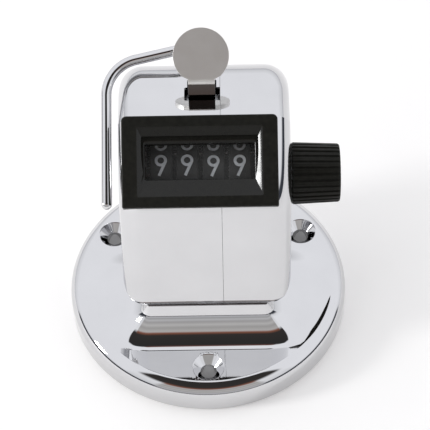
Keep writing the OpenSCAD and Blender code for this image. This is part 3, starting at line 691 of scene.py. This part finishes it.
HOOK_RUN = HOOK_REACH / HOOK_ALONG.y - HOOK_BEND * math.sin(HOOK_SWING) - HOOK_SPAN * math.cos(HOOK_SWING)
HOOK_CORNER = Vector((HOOK_END_X, HOOK_SEAT.x, HOOK_TIP.z + HOOK_REACH * math.tan(HOOK_DIR)))
HOOK_LEAD = HOOK_TURN * math.tan(HOOK_OVER.angle(HOOK_DOWN) / 2)
POSTS = (TOP + Vector((4.6, -3.2)), AXIS - Vector((10, 13)))
SCREW_R = 1.0
SUNK_R = SCREW_R + SHEET
SUNK_FIT = 0.1
SCREW_LEN = 5.0
SCREW_EDGE = 0.06
DRIVER_W = 0.6
DRIVER_DEPTH = 0.4
COLLAR_R = 2.7
COLLAR_EDGE = 0.3
COLLAR_TOP = HOOK_SEAT.y + 2.4
COLLAR_FOOT = HOOK_SEAT.y - 4.4


def cut_slot(cup):
    """Slot for the neck: open to the seam in front, close to the neck behind."""
    left = NECK_X - NECK_W / 2
    right = NECK_X + NECK_W / 2
    for x0, x1, y0, y1 in ((left - SLOT_SIDE, SEAM_X + 1, SLOT_FRONT, SLOT_STEP),
                           (left - PASS_GAP, right + PASS_GAP, SLOT_STEP - 1, SLOT_BACK)):
        corner = rounded_rectangle(x1 - x0, y1 - y0, 0.4, 0.4, 5)
        middle = Vector(((x0 + x1) / 2, (y0 + y1) / 2))
        cut(cup, loft("slot", [[(*(p + middle), z) for p in corner] for z in (TOP.y, ROOF_Z + 1)]))


def make_case():
    """Two cups of sheet metal, with openings for the window, the shaft, the lever and the hook."""
    for side, name in ((-1, "left_case"), (1, "right_case")):
        edge = SEAM_X + side * SEAM_GAP
        cup = cup_solid(name + "_shell", edge, side, 0, SEAM_LIP)
        cut(cup, cup_solid("inside", edge - side, side, SHEET, INNER_LIP))
        opening = rounded_rectangle(OPENING_W, OPENING_H, 0.3, 0.3, 3)
        cut(cup, loft("opening", [on_face(opening, d) for d in (PANE_BACK, -BEZEL_PROUD)]))
        for spot in POSTS:
            shank = SCREW_R + SUNK_FIT
            head = SUNK_R + SUNK_FIT
            sunk = [(shank, SHEET + 1), (shank, SHEET), (head, 0), (head, -1)]
            ring = arc(spot, 1, 0, 360, 48)[1:]
            rings = []
            for r, depth in sunk:
                x = side * (CASE_HALF - depth)
                rings.append([(x, *(spot + r * (p - spot))) for p in ring])
            cut(cup, loft("sunk_hole", rings))
        if side > 0:
            cut(cup, rod("shaft_hole", AXIS.x, AXIS.y, 0, CASE_HALF + 1, SHAFT_R + PASS_GAP))
        else:
            cut_slot(cup)
            cut(cup, post("hook_hole", HOOK_END_X, HOOK_SEAT.x, TOP.y, ROOF_Z + 1, HOOK_R + HOOK_FIT))
        smooth(cup)
        dress(cup, CHROME, "stand", "chrome", name)


def cut_window(bezel):
    """Opening with bevelled sides and a softened edge, and the pane's seat behind it."""
    slope_w = (BEVEL_W - WINDOW_W) / BEVEL_DEPTH
    slope_h = (BEVEL_H - WINDOW_H) / BEVEL_DEPTH
    low = BEVEL_DEPTH - BEVEL_SOFT
    end = BEVEL_DEPTH - 0.03
    steps = [(0.36, -1, 0), (0.36, 0, 0), (0.16, 0.05, 0), (0, 0.2, 0.2), (0, low, low), (0.03, end, end)]
    stations = [(BEVEL_W - slope_w * fall + grow, BEVEL_H - slope_h * fall + grow, depth)
                for grow, depth, fall in steps]
    stations += [(WINDOW_W, WINDOW_H, depth) for depth in (BEVEL_DEPTH + BEVEL_SOFT, PANE_BACK + 1)]
    corner = WINDOW_CORNER
    rings = [on_face(rounded_rectangle(w, h, corner, corner, 4), depth) for w, h, depth in stations]
    cut(bezel, loft("window_frame", rings))
    lap = PANE_LAP + PANE_FIT
    seat = rounded_rectangle(WINDOW_W + lap, WINDOW_H + lap, 0.3, 0.3, 3)
    cut(bezel, loft("pane_seat", [on_face(seat, d) for d in (PANE_FRONT, PANE_BACK + 1)]))


def make_bezel():
    """Frame with a small round on its front edge and a skirt in the case; its bevels are glossier."""
    stations = [(1, BEZEL_DEPTH), (BEZEL_EDGE / BEZEL_DEPTH, BEZEL_EDGE)]
    rings = []
    for share, depth in stations:
        outline = rounded_rectangle(BEZEL_W + 2 * BEZEL_DRAFT * share, BEZEL_H, BEZEL_TOP_R, BEZEL_FOOT_R)
        rings.append(on_face(outline, depth))
    for i in range(1, 5):
        swing = polar(90 * i / 4)
        shrink = 2 * BEZEL_EDGE * (1 - swing.x)
        outline = rounded_rectangle(BEZEL_W - shrink, BEZEL_H - shrink, BEZEL_TOP_R, BEZEL_FOOT_R)
        rings.append(on_face(outline, BEZEL_EDGE * (1 - swing.y)))
    bezel = loft("window_bezel", rings)
    cut(bezel, whole_case("case_room"))
    skirt = rounded_rectangle(OPENING_W - SKIRT_FIT, OPENING_H - SKIRT_FIT, 0.2, 0.2, 3)
    fuse(bezel, loft("skirt", [on_face(skirt, d) for d in (PANE_BACK, BEZEL_PROUD)]))
    cut_window(bezel)
    smooth(bezel, 40)
    dress(bezel, BEZEL_BLACK, "stand", "black_moulding", "bezel")
    bezel.data.materials.append(BEVEL_BLACK)
    near = 0.1
    for face in bezel.data.polygons:
        spot = face.center / MM
        off = Vector((spot.y, spot.z)) - FACE_MID
        across = abs(spot.x + FACE_SHIFT)
        along = abs(off.dot(FACE_U))
        depth = -off.dot(FACE_N)
        inside = across < BEVEL_W / 2 + near and along < BEVEL_H / 2 + near
        if inside and near / 2 < depth < BEVEL_DEPTH + near:
            face.material_index = 1


def make_pane():
    """Flat pane with bevelled edges, behind the window."""
    stations = [(2 * PANE_EDGE, PANE_BACK), (0, PANE_BACK - PANE_EDGE), (0, PANE_FRONT + PANE_EDGE),
                (2 * PANE_EDGE, PANE_FRONT)]
    rings = []
    for shrink, depth in stations:
        lap = PANE_LAP - shrink
        rings.append(on_face(rounded_rectangle(WINDOW_W + lap, WINDOW_H + lap, 0.4, 0.4, 4), depth))
    pane = loft("window_pane", rings)
    smooth(pane)
    dress(pane, PANE, "stand", "clear_pane", "lens")


# Numerals, drawn as strokes in millimetres about the middle of a numeral
NUMERAL_H = 5.2
STROKE = 0.68
NUMERAL_PROUD = 0.03
NUMERAL_SUNK = 0.05
STEP_DEGREES = 36
WHEEL_LAG = (10.0, 10.0, 8.4, 8.4)


def stroke_arc(x, y, rx, ry, start, end):
    steps = max(4, round(abs(end - start) / 14))
    return [Vector((x + rx * p.x, y + ry * p.y)) for p in arc(Vector((0, 0)), 1, start, end, steps)]


def stroke_line(*points):
    """Straight runs, cut short enough to follow the wheel."""
    run = [Vector(points[0])]
    for a, b in zip(points, points[1:]):
        a, b = Vector(a), Vector(b)
        steps = max(1, math.ceil((b - a).length / 0.45))
        run += [a + (b - a) * i / steps for i in range(1, steps + 1)]
    return run


HALF_H = NUMERAL_H / 2 - STROKE / 2
LOOP_R = 1.14
LOOP_Y = HALF_H - LOOP_R


def tail(sign):
    """The straight tail of a nine, which leaves its loop at a tangent; a six is a nine turned over."""
    foot = Vector((-0.48, -NUMERAL_H / 2))
    to_loop = Vector((0, LOOP_Y)) - foot
    lean = math.atan2(to_loop.y, to_loop.x) - math.asin(LOOP_R / to_loop.length)
    reach = math.sqrt(to_loop.length_squared - LOOP_R ** 2)
    touch = foot + reach * Vector((math.cos(lean), math.sin(lean)))
    return stroke_line(tuple(sign * touch), tuple(sign * foot))


def numeral_strokes():
    h = HALF_H
    full = NUMERAL_H / 2
    return [
        [stroke_arc(0, 0, LOOP_R, h, 0, 360)],
        [stroke_line((-0.65, 1.75), (0.1, h), (0.1, -full))],
        [stroke_arc(0, LOOP_Y, LOOP_R, LOOP_R, 170, -40) + stroke_line((-1.15, -h), (1.25, -h))],
        [stroke_arc(-0.1, LOOP_Y + 0.1, 1.0, LOOP_R - 0.1, 150, -90),
         stroke_arc(-0.1, -LOOP_Y - 0.1, 1.14, 1.24, 90, -150)],
        [stroke_line((0.5, -full), (0.5, h), (-1.25, -1.0), (1.3, -1.0))],
        [stroke_line((1.0, h), (-0.75, h), (-0.85, 0.1)) + stroke_arc(0, -0.95, 1.2, 1.3, 125, -150)],
        [stroke_arc(0, -LOOP_Y, LOOP_R, LOOP_R, 0, 360), tail(-1)],
        [stroke_line((-1.2, h), (1.1, h), (-0.4, -full))],
        [stroke_arc(0, LOOP_Y + 0.14, 0.98, 1.0, 0, 360),
         stroke_arc(0, -LOOP_Y + 0.08, LOOP_R, 1.22, 0, 360)],
        [stroke_arc(0, LOOP_Y, LOOP_R, LOOP_R, 0, 360), tail(1)],
    ]


def on_wheel(u, v, radius, turn):
    """Place on the first wheel: u across, v up its face, turned from the middle of the window."""
    angle = v / WHEEL_R + math.radians(turn)
    spot = AXIS + radius * (math.cos(angle) * FACE_N + math.sin(angle) * FACE_U)
    return (WHEEL_X[0] + u, spot.x, spot.y)


def ribbon(name, run, turn):
    """A flat stroke of even width along a run of points, wrapped round the wheel."""
    closed = (run[0] - run[-1]).length < 0.001
    points = run[:-1] if closed else run
    last = len(points) - 1
    rings = []
    for i, p in enumerate(points):
        before = points[i - 1] if i or closed else p
        after = points[(i + 1) % (last + 1)] if i < last or closed else p
        arriving = (p - before).normalized() if p != before else (after - p).normalized()
        leaving = (after - p).normalized() if p != after else arriving
        along = (arriving + leaving).normalized()
        side = Vector((-along.y, along.x)) * STROKE / 2 / max(0.6, along.dot(leaving))
        high = WHEEL_R + NUMERAL_PROUD
        low = WHEEL_R - NUMERAL_SUNK
        corners = ((p + side, high), (p - side, high), (p - side, low), (p + side, low))
        rings.append([on_wheel(*spot, radius, turn) for spot, radius in corners])
    return loft(name, rings, closed)


def ratchet():
    """Ring of teeth on the right of the first wheel."""
    points = []
    for i in range(TEETH):
        start = 360 / TEETH * i
        points += [TOOTH_R * polar(start), TOOTH_ROOT_R * polar(start + TOOTH_RUN)]
    left = WHEEL_X[0] + RIM_W / 2 - TOOTH_SET
    ends = (left, left + TOOTH_W)
    return loft("ratchet", [[(x, AXIS.x + p.x, AXIS.y + p.y) for p in points] for x in ends])


def make_wheels():
    half = RIM_W / 2
    edge = WHEEL_EDGE
    hub = SHAFT_R + HUB_T
    bore = SHAFT_R + BORE_FIT
    wall = WHEEL_R - RIM_T
    web = half - WEB_T
    profile = [(bore, -half), (hub, -half), (hub, web), (wall, web), (wall, -half), (WHEEL_R - edge, -half),
               (WHEEL_R, -half + edge), (WHEEL_R, half - edge), (WHEEL_R - edge, half), (bore, half)]
    drum = turned("wheel_drum", profile, (WHEEL_X[0], AXIS.x, AXIS.y), (1, 0, 0), 160)
    teeth = ratchet()
    cut(teeth, rod("tooth_bore", AXIS.x, AXIS.y, WHEEL_X[0] - half, WHEEL_X[1], bore))
    fuse(drum, teeth)
    smooth(drum, 35)
    drum.data.materials.append(WHEEL_BLACK)
    figures = []
    for value, strokes in enumerate(numeral_strokes()):
        turn = (9 - value) * STEP_DEGREES
        figures += [ribbon("figure", run, turn) for run in strokes]
    figures = join("figures", figures)
    smooth(figures)
    figures.data.materials.append(NUMERAL)
    pivot = Vector((0, AXIS.x, AXIS.y)) * MM
    for i, lag in enumerate(WHEEL_LAG):
        shift = Matrix.Translation(((WHEEL_X[i] - WHEEL_X[0]) * MM, 0, 0))
        swing = Matrix.Rotation(-math.radians(lag), 4, "X")
        turn = Matrix.Translation(pivot) @ swing @ Matrix.Translation(-pivot)
        copies = []
        for part, place in ((drum, shift), (figures, shift @ turn)):
            copy = part.copy()
            copy.data = part.data.copy()
            copy.data.transform(place)
            bpy.context.scene.collection.objects.link(copy)
            copies.append(copy)
        wheel = join(f"numbered_wheel_{i + 1}", copies)
        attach(wheel, f"wheel_{i + 1}")
        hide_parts(f"number_wheel_{i + 1}")
    bpy.data.objects.remove(drum)
    bpy.data.objects.remove(figures)


def knob_ring(x, radius, ribbed):
    """One ring of the knob, with its grooves sunk by a share of their depth."""
    count = KNOB_RIBS * RIB_STEPS
    points = []
    for k in range(count):
        away = abs(2 * (k % RIB_STEPS) / RIB_STEPS - 1)
        share = min(max((away - 0.54) / 0.24, 0), 1)
        groove = share * share * (3 - 2 * share)
        spoke = (radius - GROOVE_DEPTH * ribbed * groove) * polar(360 * k / count)
        points.append((KNOB_X + x, AXIS.x + spoke.x, AXIS.y + spoke.y))
    return points


def make_knob():
    """Tapered knob with wide flat ribs, a rounded edge at each end and a shallow dish in its end face."""

    def side_r(x):
        return KNOB_R + (KNOB_TIP_R - KNOB_R) * x / KNOB_LEN

    back_r = side_r(0)
    tip_r = side_r(KNOB_LEN)
    stations = [(0, back_r - 0.7, 0), (0, back_r - 0.55, 0.4), (0.16, back_r - 0.2, 1)]
    stations += [(x, side_r(x), 1) for x in (0.5, 3, 6, 9, KNOB_LEN - 0.6)]
    stations += [(KNOB_LEN - 0.2, tip_r - 0.16, 1), (KNOB_LEN - 0.04, tip_r - 0.45, 0.5),
                 (KNOB_LEN, tip_r - 0.75, 0), (KNOB_LEN, tip_r - 1.6, 0),
                 (KNOB_LEN - 0.25, tip_r - 1.9, 0), (KNOB_LEN - 0.3, 1.0, 0)]
    knob = loft("ribbed_knob", [knob_ring(*station) for station in stations])
    cut(knob, rod("shaft_bore", AXIS.x, AXIS.y, KNOB_X - 1, KNOB_X + KNOB_LEN - 2, SHAFT_R))
    smooth(knob, 40)
    dress(knob, KNOB_BLACK, "reset", "knob_plastic", "reset_knob")


# Thumb pad and neck
PAD_R = 6.65
PAD_TILT = math.radians(40)
LEVER_T = 1.2
PAD_SINK = 0.9
FOLD_Z = ROOF_Z + 4.7
FOLD_R = 1.6
NECK_DROP = 3.4
FOOT_Z = ROOF_Z - NECK_DROP
FOOT_RUN = 3.8
PAD_EDGE = 0.22


def make_pad():
    """Round pad cut from a disc, with its lower edge folded down into a neck and then back into a foot."""
    slope = Vector((math.cos(PAD_TILT), math.sin(PAD_TILT)))
    rise = Vector((-math.sin(PAD_TILT), math.cos(PAD_TILT)))
    under = Vector((NECK_Y + LEVER_T, FOLD_Z))
    upper = under + LEVER_T * rise
    crease = upper - slope * (upper.x - NECK_Y) / slope.x
    turn = math.pi / 2 - PAD_TILT
    tangent = FOLD_R * math.tan(turn / 2)
    fold_mid = Vector((NECK_Y + FOLD_R, crease.y - tangent))
    middle = upper + slope * (PAD_R - PAD_SINK)
    deselect()
    bpy.ops.mesh.primitive_circle_add(vertices=128, radius=PAD_R * MM, fill_type="NGON")
    pad = bpy.context.object
    pad.name = "thumb_pad"
    bpy.ops.object.mode_set(mode="EDIT")
    mesh = bmesh.from_edit_mesh(pad.data)
    chord = PAD_R - PAD_SINK - tangent
    low = [v for v in mesh.verts if v.co.y < -chord * MM]
    for v in low:
        v.co.y = -chord * MM
    for v in mesh.verts:
        local = v.co / MM
        spot = middle + slope * local.y
        v.co = Vector((NECK_X + local.x, spot.x, spot.y)) * MM
    wide = max(abs(v.co.x / MM - NECK_X) for v in low)
    path = [fold_mid + FOLD_R * Vector((-math.cos(a), math.sin(a)))
            for a in [turn * (8 - i) / 8 for i in range(9)]]
    foot_mid = Vector((NECK_Y + FOLD_R, FOOT_Z + FOLD_R))
    path += [foot_mid + FOLD_R * polar(180 + 90 * i / 6) for i in range(7)]
    path.append(Vector((NECK_Y + FOOT_RUN, FOOT_Z)))
    bpy.ops.mesh.select_all(action="DESELECT")
    for edge in mesh.edges:
        edge.select_set(all(v in low for v in edge.verts))
    bmesh.update_edit_mesh(pad.data)
    for k, spot in enumerate(path):
        bpy.ops.mesh.extrude_edges_move()
        mesh = bmesh.from_edit_mesh(pad.data)
        for v in mesh.verts:
            if v.select:
                if k == 0:
                    v.co.x = (NECK_X + (v.co.x / MM - NECK_X) * NECK_W / 2 / wide) * MM
                v.co.y, v.co.z = spot.x * MM, spot.y * MM
        bmesh.update_edit_mesh(pad.data)
    bpy.ops.mesh.select_all(action="SELECT")
    bpy.ops.mesh.normals_make_consistent(inside=False)
    bpy.ops.object.mode_set(mode="OBJECT")
    facing = max(pad.data.polygons, key=lambda face: face.area)
    if facing.normal.z < 0:
        in_edit(pad)
        bpy.ops.mesh.flip_normals()
        bpy.ops.object.mode_set(mode="OBJECT")
    apply(pad, "SOLIDIFY", thickness=LEVER_T * MM, offset=-1, use_even_offset=True)
    sharp = math.radians(50)
    apply(pad, "BEVEL", width=PAD_EDGE * MM, segments=3, limit_method="ANGLE", angle_limit=sharp)
    smooth(pad, 40)
    dress(pad, NICKEL, "lever", "brushed_nickel", "thumb_lever")
    # Faces below the fold, the neck and the foot, get the darker copy of the nickel. This is painted shade
    # for the dark slot that the neck mirrors.
    pad.data.materials.append(NECK_NICKEL_PAINTED_DARK)
    for face in pad.data.polygons:
        if face.center.z < fold_mid.y * MM:
            face.material_index = 1


def hook_bend(start, before, after, radius, steps):
    """Stations of the rod round a bend: middle, direction and radius."""
    turn = before.angle(after)
    side = (after - math.cos(turn) * before) / math.sin(turn)
    stations = []
    for i in range(steps + 1):
        swing = polar(math.degrees(turn) * i / steps)
        spot = start + radius * (swing.y * before + (1 - swing.x) * side)
        stations.append((spot, swing.x * before + swing.y * side, HOOK_R))
    return stations


def make_hook():
    """Round rod with a domed tip, a shoulder bend and an end turned down into the case."""
    stations = []
    for i in range(9):
        swing = polar(-90 + 90 * i / 8 + (2 if i == 0 else 0))
        stations.append((HOOK_TIP + HOOK_R * swing.y * HOOK_ALONG, HOOK_ALONG, HOOK_R * swing.x))
    stations += hook_bend(HOOK_TIP + HOOK_RUN * HOOK_ALONG, HOOK_ALONG, HOOK_OVER, HOOK_BEND, 24)
    stations += hook_bend(HOOK_CORNER - HOOK_LEAD * HOOK_OVER, HOOK_OVER, HOOK_DOWN, HOOK_TURN, 14)
    stations.append((Vector((HOOK_END_X, HOOK_SEAT.x, HOOK_SEAT.y - HOOK_DEPTH)), HOOK_DOWN, HOOK_R))
    rings = []
    for spot, along, radius in stations:
        e = (HOOK_UP - HOOK_UP.dot(along) * along).normalized()
        f = along.cross(e)
        rings.append([spot + radius * (p.x * e + p.y * f) for p in circle(40)])
    hook = loft("hook_rod", rings)
    smooth(hook, 50)
    dress(hook, CHROME, "stand", "chrome", "finger_hook")


def make_collar():
    """Ring round the rod where it enters the case, cut to the case's round back."""
    bore = HOOK_R + 0.01
    crown = Vector((COLLAR_R - COLLAR_EDGE, COLLAR_TOP - COLLAR_EDGE))
    profile = [(bore, COLLAR_FOOT), (COLLAR_R, COLLAR_FOOT)]
    profile += [tuple(p) for p in arc(crown, COLLAR_EDGE, 0, 90, 4)] + [(bore, COLLAR_TOP)]
    collar = turned("collar_ring", profile, (HOOK_END_X, HOOK_SEAT.x, 0), (0, 0, 1), 64)
    cut(collar, whole_case("case_room"))
    smooth(collar, 40)
    dress(collar, CHROME, "stand", "chrome", "hook_collar")


def make_case_screws():
    """Countersunk screws with a slot, two on each end of the case."""
    rim = SUNK_R - SCREW_EDGE
    profile = [(0, -SCREW_LEN), (SCREW_R, -SCREW_LEN), (SCREW_R, -SHEET), (rim, -SCREW_EDGE),
               (rim - SCREW_EDGE, 0), (0, 0)]
    half_slot = 2.5
    screws = []
    for side in (-1, 1):
        for k, spot in enumerate(POSTS):
            screw = turned("screw", profile, (side * CASE_HALF, *spot), (side, 0, 0), 48)
            across = polar(25 + 50 * k) * half_slot
            thick = Vector((-across.y, across.x)) / half_slot * DRIVER_W / 2
            slot = [spot + across + thick, spot - across + thick,
                    spot - across - thick, spot + across - thick]
            depths = (side * (CASE_HALF - DRIVER_DEPTH), side * (CASE_HALF + 1))
            cut(screw, loft("driver_slot", [[(x, *p) for p in slot] for x in depths]))
            screws.append(screw)
    screws = join("sunk_screws", screws)
    smooth(screws, 35)
    dress(screws, ZINC, "stand", "screw_steel", "case_screws")


# Stage, with its sizes in metres
FLOOR_R = 4.0
FLOOR_GLOW = 0.15
LAMP_AT = Vector((-0.754, -0.099, 0.305))
LAMP_AIM = Vector((0, 0, 0.05))
LAMP_SIZE = 0.14
LAMP_WATTS = 2.8


def make_stage():
    """Pale floor, a little brighter to the eye and in mirrors than the light on it makes it."""
    deselect()
    bpy.ops.mesh.primitive_circle_add(vertices=96, radius=FLOOR_R, fill_type="NGON")
    floor = bpy.context.object
    floor.name = "floor"
    made = material("pale_floor", (0.93, 0.92, 0.905), 0, 0.75, Specular_IOR_Level=0.1)
    tint(made, between(made, noise(made, 40, 2), 0, 1), (0.925, 0.915, 0.90), (0.935, 0.925, 0.91))
    path = node(made, "ShaderNodeLightPath")
    seen = path.outputs["Is Camera Ray"]
    for ray in ("Is Glossy Ray", "Is Transmission Ray"):
        either = node(made, "ShaderNodeMath", operation="MAXIMUM")
        link(made, seen, either.inputs[0])
        link(made, path.outputs[ray], either.inputs[1])
        seen = either.outputs[0]
    glow = between(made, seen, 0, FLOOR_GLOW, 0, 1)
    shader_of(made).inputs["Emission Color"].default_value = (1, 1, 1, 1)
    link(made, glow, shader_of(made).inputs["Emission Strength"])
    floor.data.materials.append(made)


# What the counter mirrors to the front, the sides and the back, by height above the horizon in degrees
FRONT_VIEW = [
    (0, (0.05, 0.05, 0.06)), (3, (0.10, 0.10, 0.11)), (6, (0.62, 0.62, 0.64)), (10, (0.44, 0.44, 0.45)),
    (14, (0.62, 0.62, 0.63)), (20, (0.46, 0.45, 0.45)), (27, (0.62, 0.61, 0.60)), (34, (0.46, 0.45, 0.44)),
    (43, (0.58, 0.56, 0.55)), (47, (0.28, 0.11, 0.07)), (52, (0.045, 0.04, 0.038)),
    (77, (0.035, 0.034, 0.033)), (80, (0.22, 0.10, 0.08)), (83, (1.05, 1.06, 1.09)),
]
FRONT_HALF_ANGLE = 34
DARK_VIEW = [
    (0, (0.05, 0.055, 0.07)), (10, (0.06, 0.065, 0.08)), (14, (0.85, 0.86, 0.89)), (44, (1.0, 1.01, 1.04)),
    (50, (0.045, 0.04, 0.038)), (77, (0.035, 0.034, 0.033)), (82, (1.05, 1.06, 1.09)),
]
DARK_HALF_ANGLE = 56
SIDE_VIEW = [
    (0, (0.05, 0.055, 0.07)), (10, (0.06, 0.065, 0.08)), (14, (0.9, 0.91, 0.94)), (20, (1.04, 1.05, 1.09)),
]
SIDE_HALF_ANGLE = 105
BACK_VIEW = [(0, (0.55, 0.56, 0.6)), (3, (0.8, 0.81, 0.84)), (20, (1.04, 1.05, 1.09))]
SOFT_ANGLE = 6


def make_world():
    """A white room, with darker things in front of the counter for the chrome to mirror."""
    world = bpy.data.worlds.new("white_room")
    bpy.context.scene.world = world
    world.use_nodes = True
    tree = world.node_tree
    ground = tree.nodes["Background"]

    def add(kind, **settings):
        new = tree.nodes.new(kind)
        for key, value in settings.items():
            setattr(new, key, value)
        return new

    def maths(operation, source, other=None):
        new = add("ShaderNodeVectorMath", operation=operation)
        tree.links.new(source, new.inputs[0])
        if other:
            new.inputs[1].default_value = other
        return new

    place = add("ShaderNodeTexCoord")
    height = add("ShaderNodeSeparateXYZ")
    tree.links.new(place.outputs["Generated"], height.inputs[0])

    def view(rows):
        """Colours by height above the horizon."""
        ramp = add("ShaderNodeValToRGB")
        stops = ramp.color_ramp.elements
        while len(stops) < len(rows):
            stops.new(0.5)
        for stop, (degrees, colour) in zip(stops, rows):
            stop.position = math.sin(math.radians(degrees))
            stop.color = (*colour, 1)
        tree.links.new(height.outputs["Z"], ramp.inputs["Fac"])
        return ramp.outputs["Color"]

    level = maths("NORMALIZE", maths("MULTIPLY", place.outputs["Generated"], (1, 1, 0)).outputs["Vector"])
    ahead = maths("DOT_PRODUCT", level.outputs["Vector"], (0, -1, 0))

    def over(under, rows, half_angle):
        """Paints a view over another one, as far as an angle to each side of the front."""
        mask = add("ShaderNodeMapRange", interpolation_type="SMOOTHSTEP")
        mask.inputs["From Min"].default_value = math.cos(math.radians(half_angle + SOFT_ANGLE))
        mask.inputs["From Max"].default_value = math.cos(math.radians(half_angle))
        tree.links.new(ahead.outputs["Value"], mask.inputs["Value"])
        both = add("ShaderNodeMix", data_type="RGBA")
        tree.links.new(under, both.inputs[6])
        tree.links.new(view(rows), both.inputs[7])
        tree.links.new(mask.outputs["Result"], both.inputs[0])
        return both.outputs[2]

    room = over(view(BACK_VIEW), SIDE_VIEW, SIDE_HALF_ANGLE)
    room = over(room, DARK_VIEW, DARK_HALF_ANGLE)
    room = over(room, FRONT_VIEW, FRONT_HALF_ANGLE)
    tree.links.new(room, ground.inputs["Color"])
    ground.inputs["Strength"].default_value = 1.0


def make_lights():
    deselect()
    bpy.ops.object.light_add(type="AREA", location=LAMP_AT)
    key = bpy.context.object
    key.name = "softbox"
    key.data.shape = "SQUARE"
    key.data.size = LAMP_SIZE
    key.data.energy = LAMP_WATTS
    key.rotation_euler = (LAMP_AIM - LAMP_AT).to_track_quat("-Z", "Y").to_euler()


CAMERA_AT = Vector((6.12, -300.91, 418.12)) * MM
CAMERA_YAW = math.radians(-0.74)
CAMERA_PITCH = math.radians(51.99)
CAMERA_ROLL = math.radians(-1.52)
FOCAL_PIXELS = 2000
FRAME_PIXELS = 430


def make_camera():
    level = math.cos(CAMERA_PITCH)
    look = Vector((math.sin(CAMERA_YAW) * level, math.cos(CAMERA_YAW) * level, -math.sin(CAMERA_PITCH)))
    right = Vector((math.cos(CAMERA_YAW), -math.sin(CAMERA_YAW), 0))
    up = right.cross(look)
    turned_right = math.cos(CAMERA_ROLL) * right + math.sin(CAMERA_ROLL) * up
    turned_up = -math.sin(CAMERA_ROLL) * right + math.cos(CAMERA_ROLL) * up
    data = bpy.data.cameras.new("camera")
    camera = bpy.data.objects.new("camera", data)
    bpy.context.scene.collection.objects.link(camera)
    data.lens = FOCAL_PIXELS * data.sensor_width / FRAME_PIXELS
    data.clip_start = 0.01
    turn = Matrix((turned_right, turned_up, -look)).transposed().to_4x4()
    camera.matrix_world = Matrix.Translation(CAMERA_AT) @ turn
    bpy.context.scene.camera = camera


dress_cad_nodes()
make_base()
make_case()
make_bezel()
make_pane()
make_wheels()
make_knob()
make_pad()
make_hook()
make_collar()
make_case_screws()
make_stage()
make_world()
make_lights()
make_camera()
bpy.context.scene.view_settings.view_transform = "Standard"
deselect()
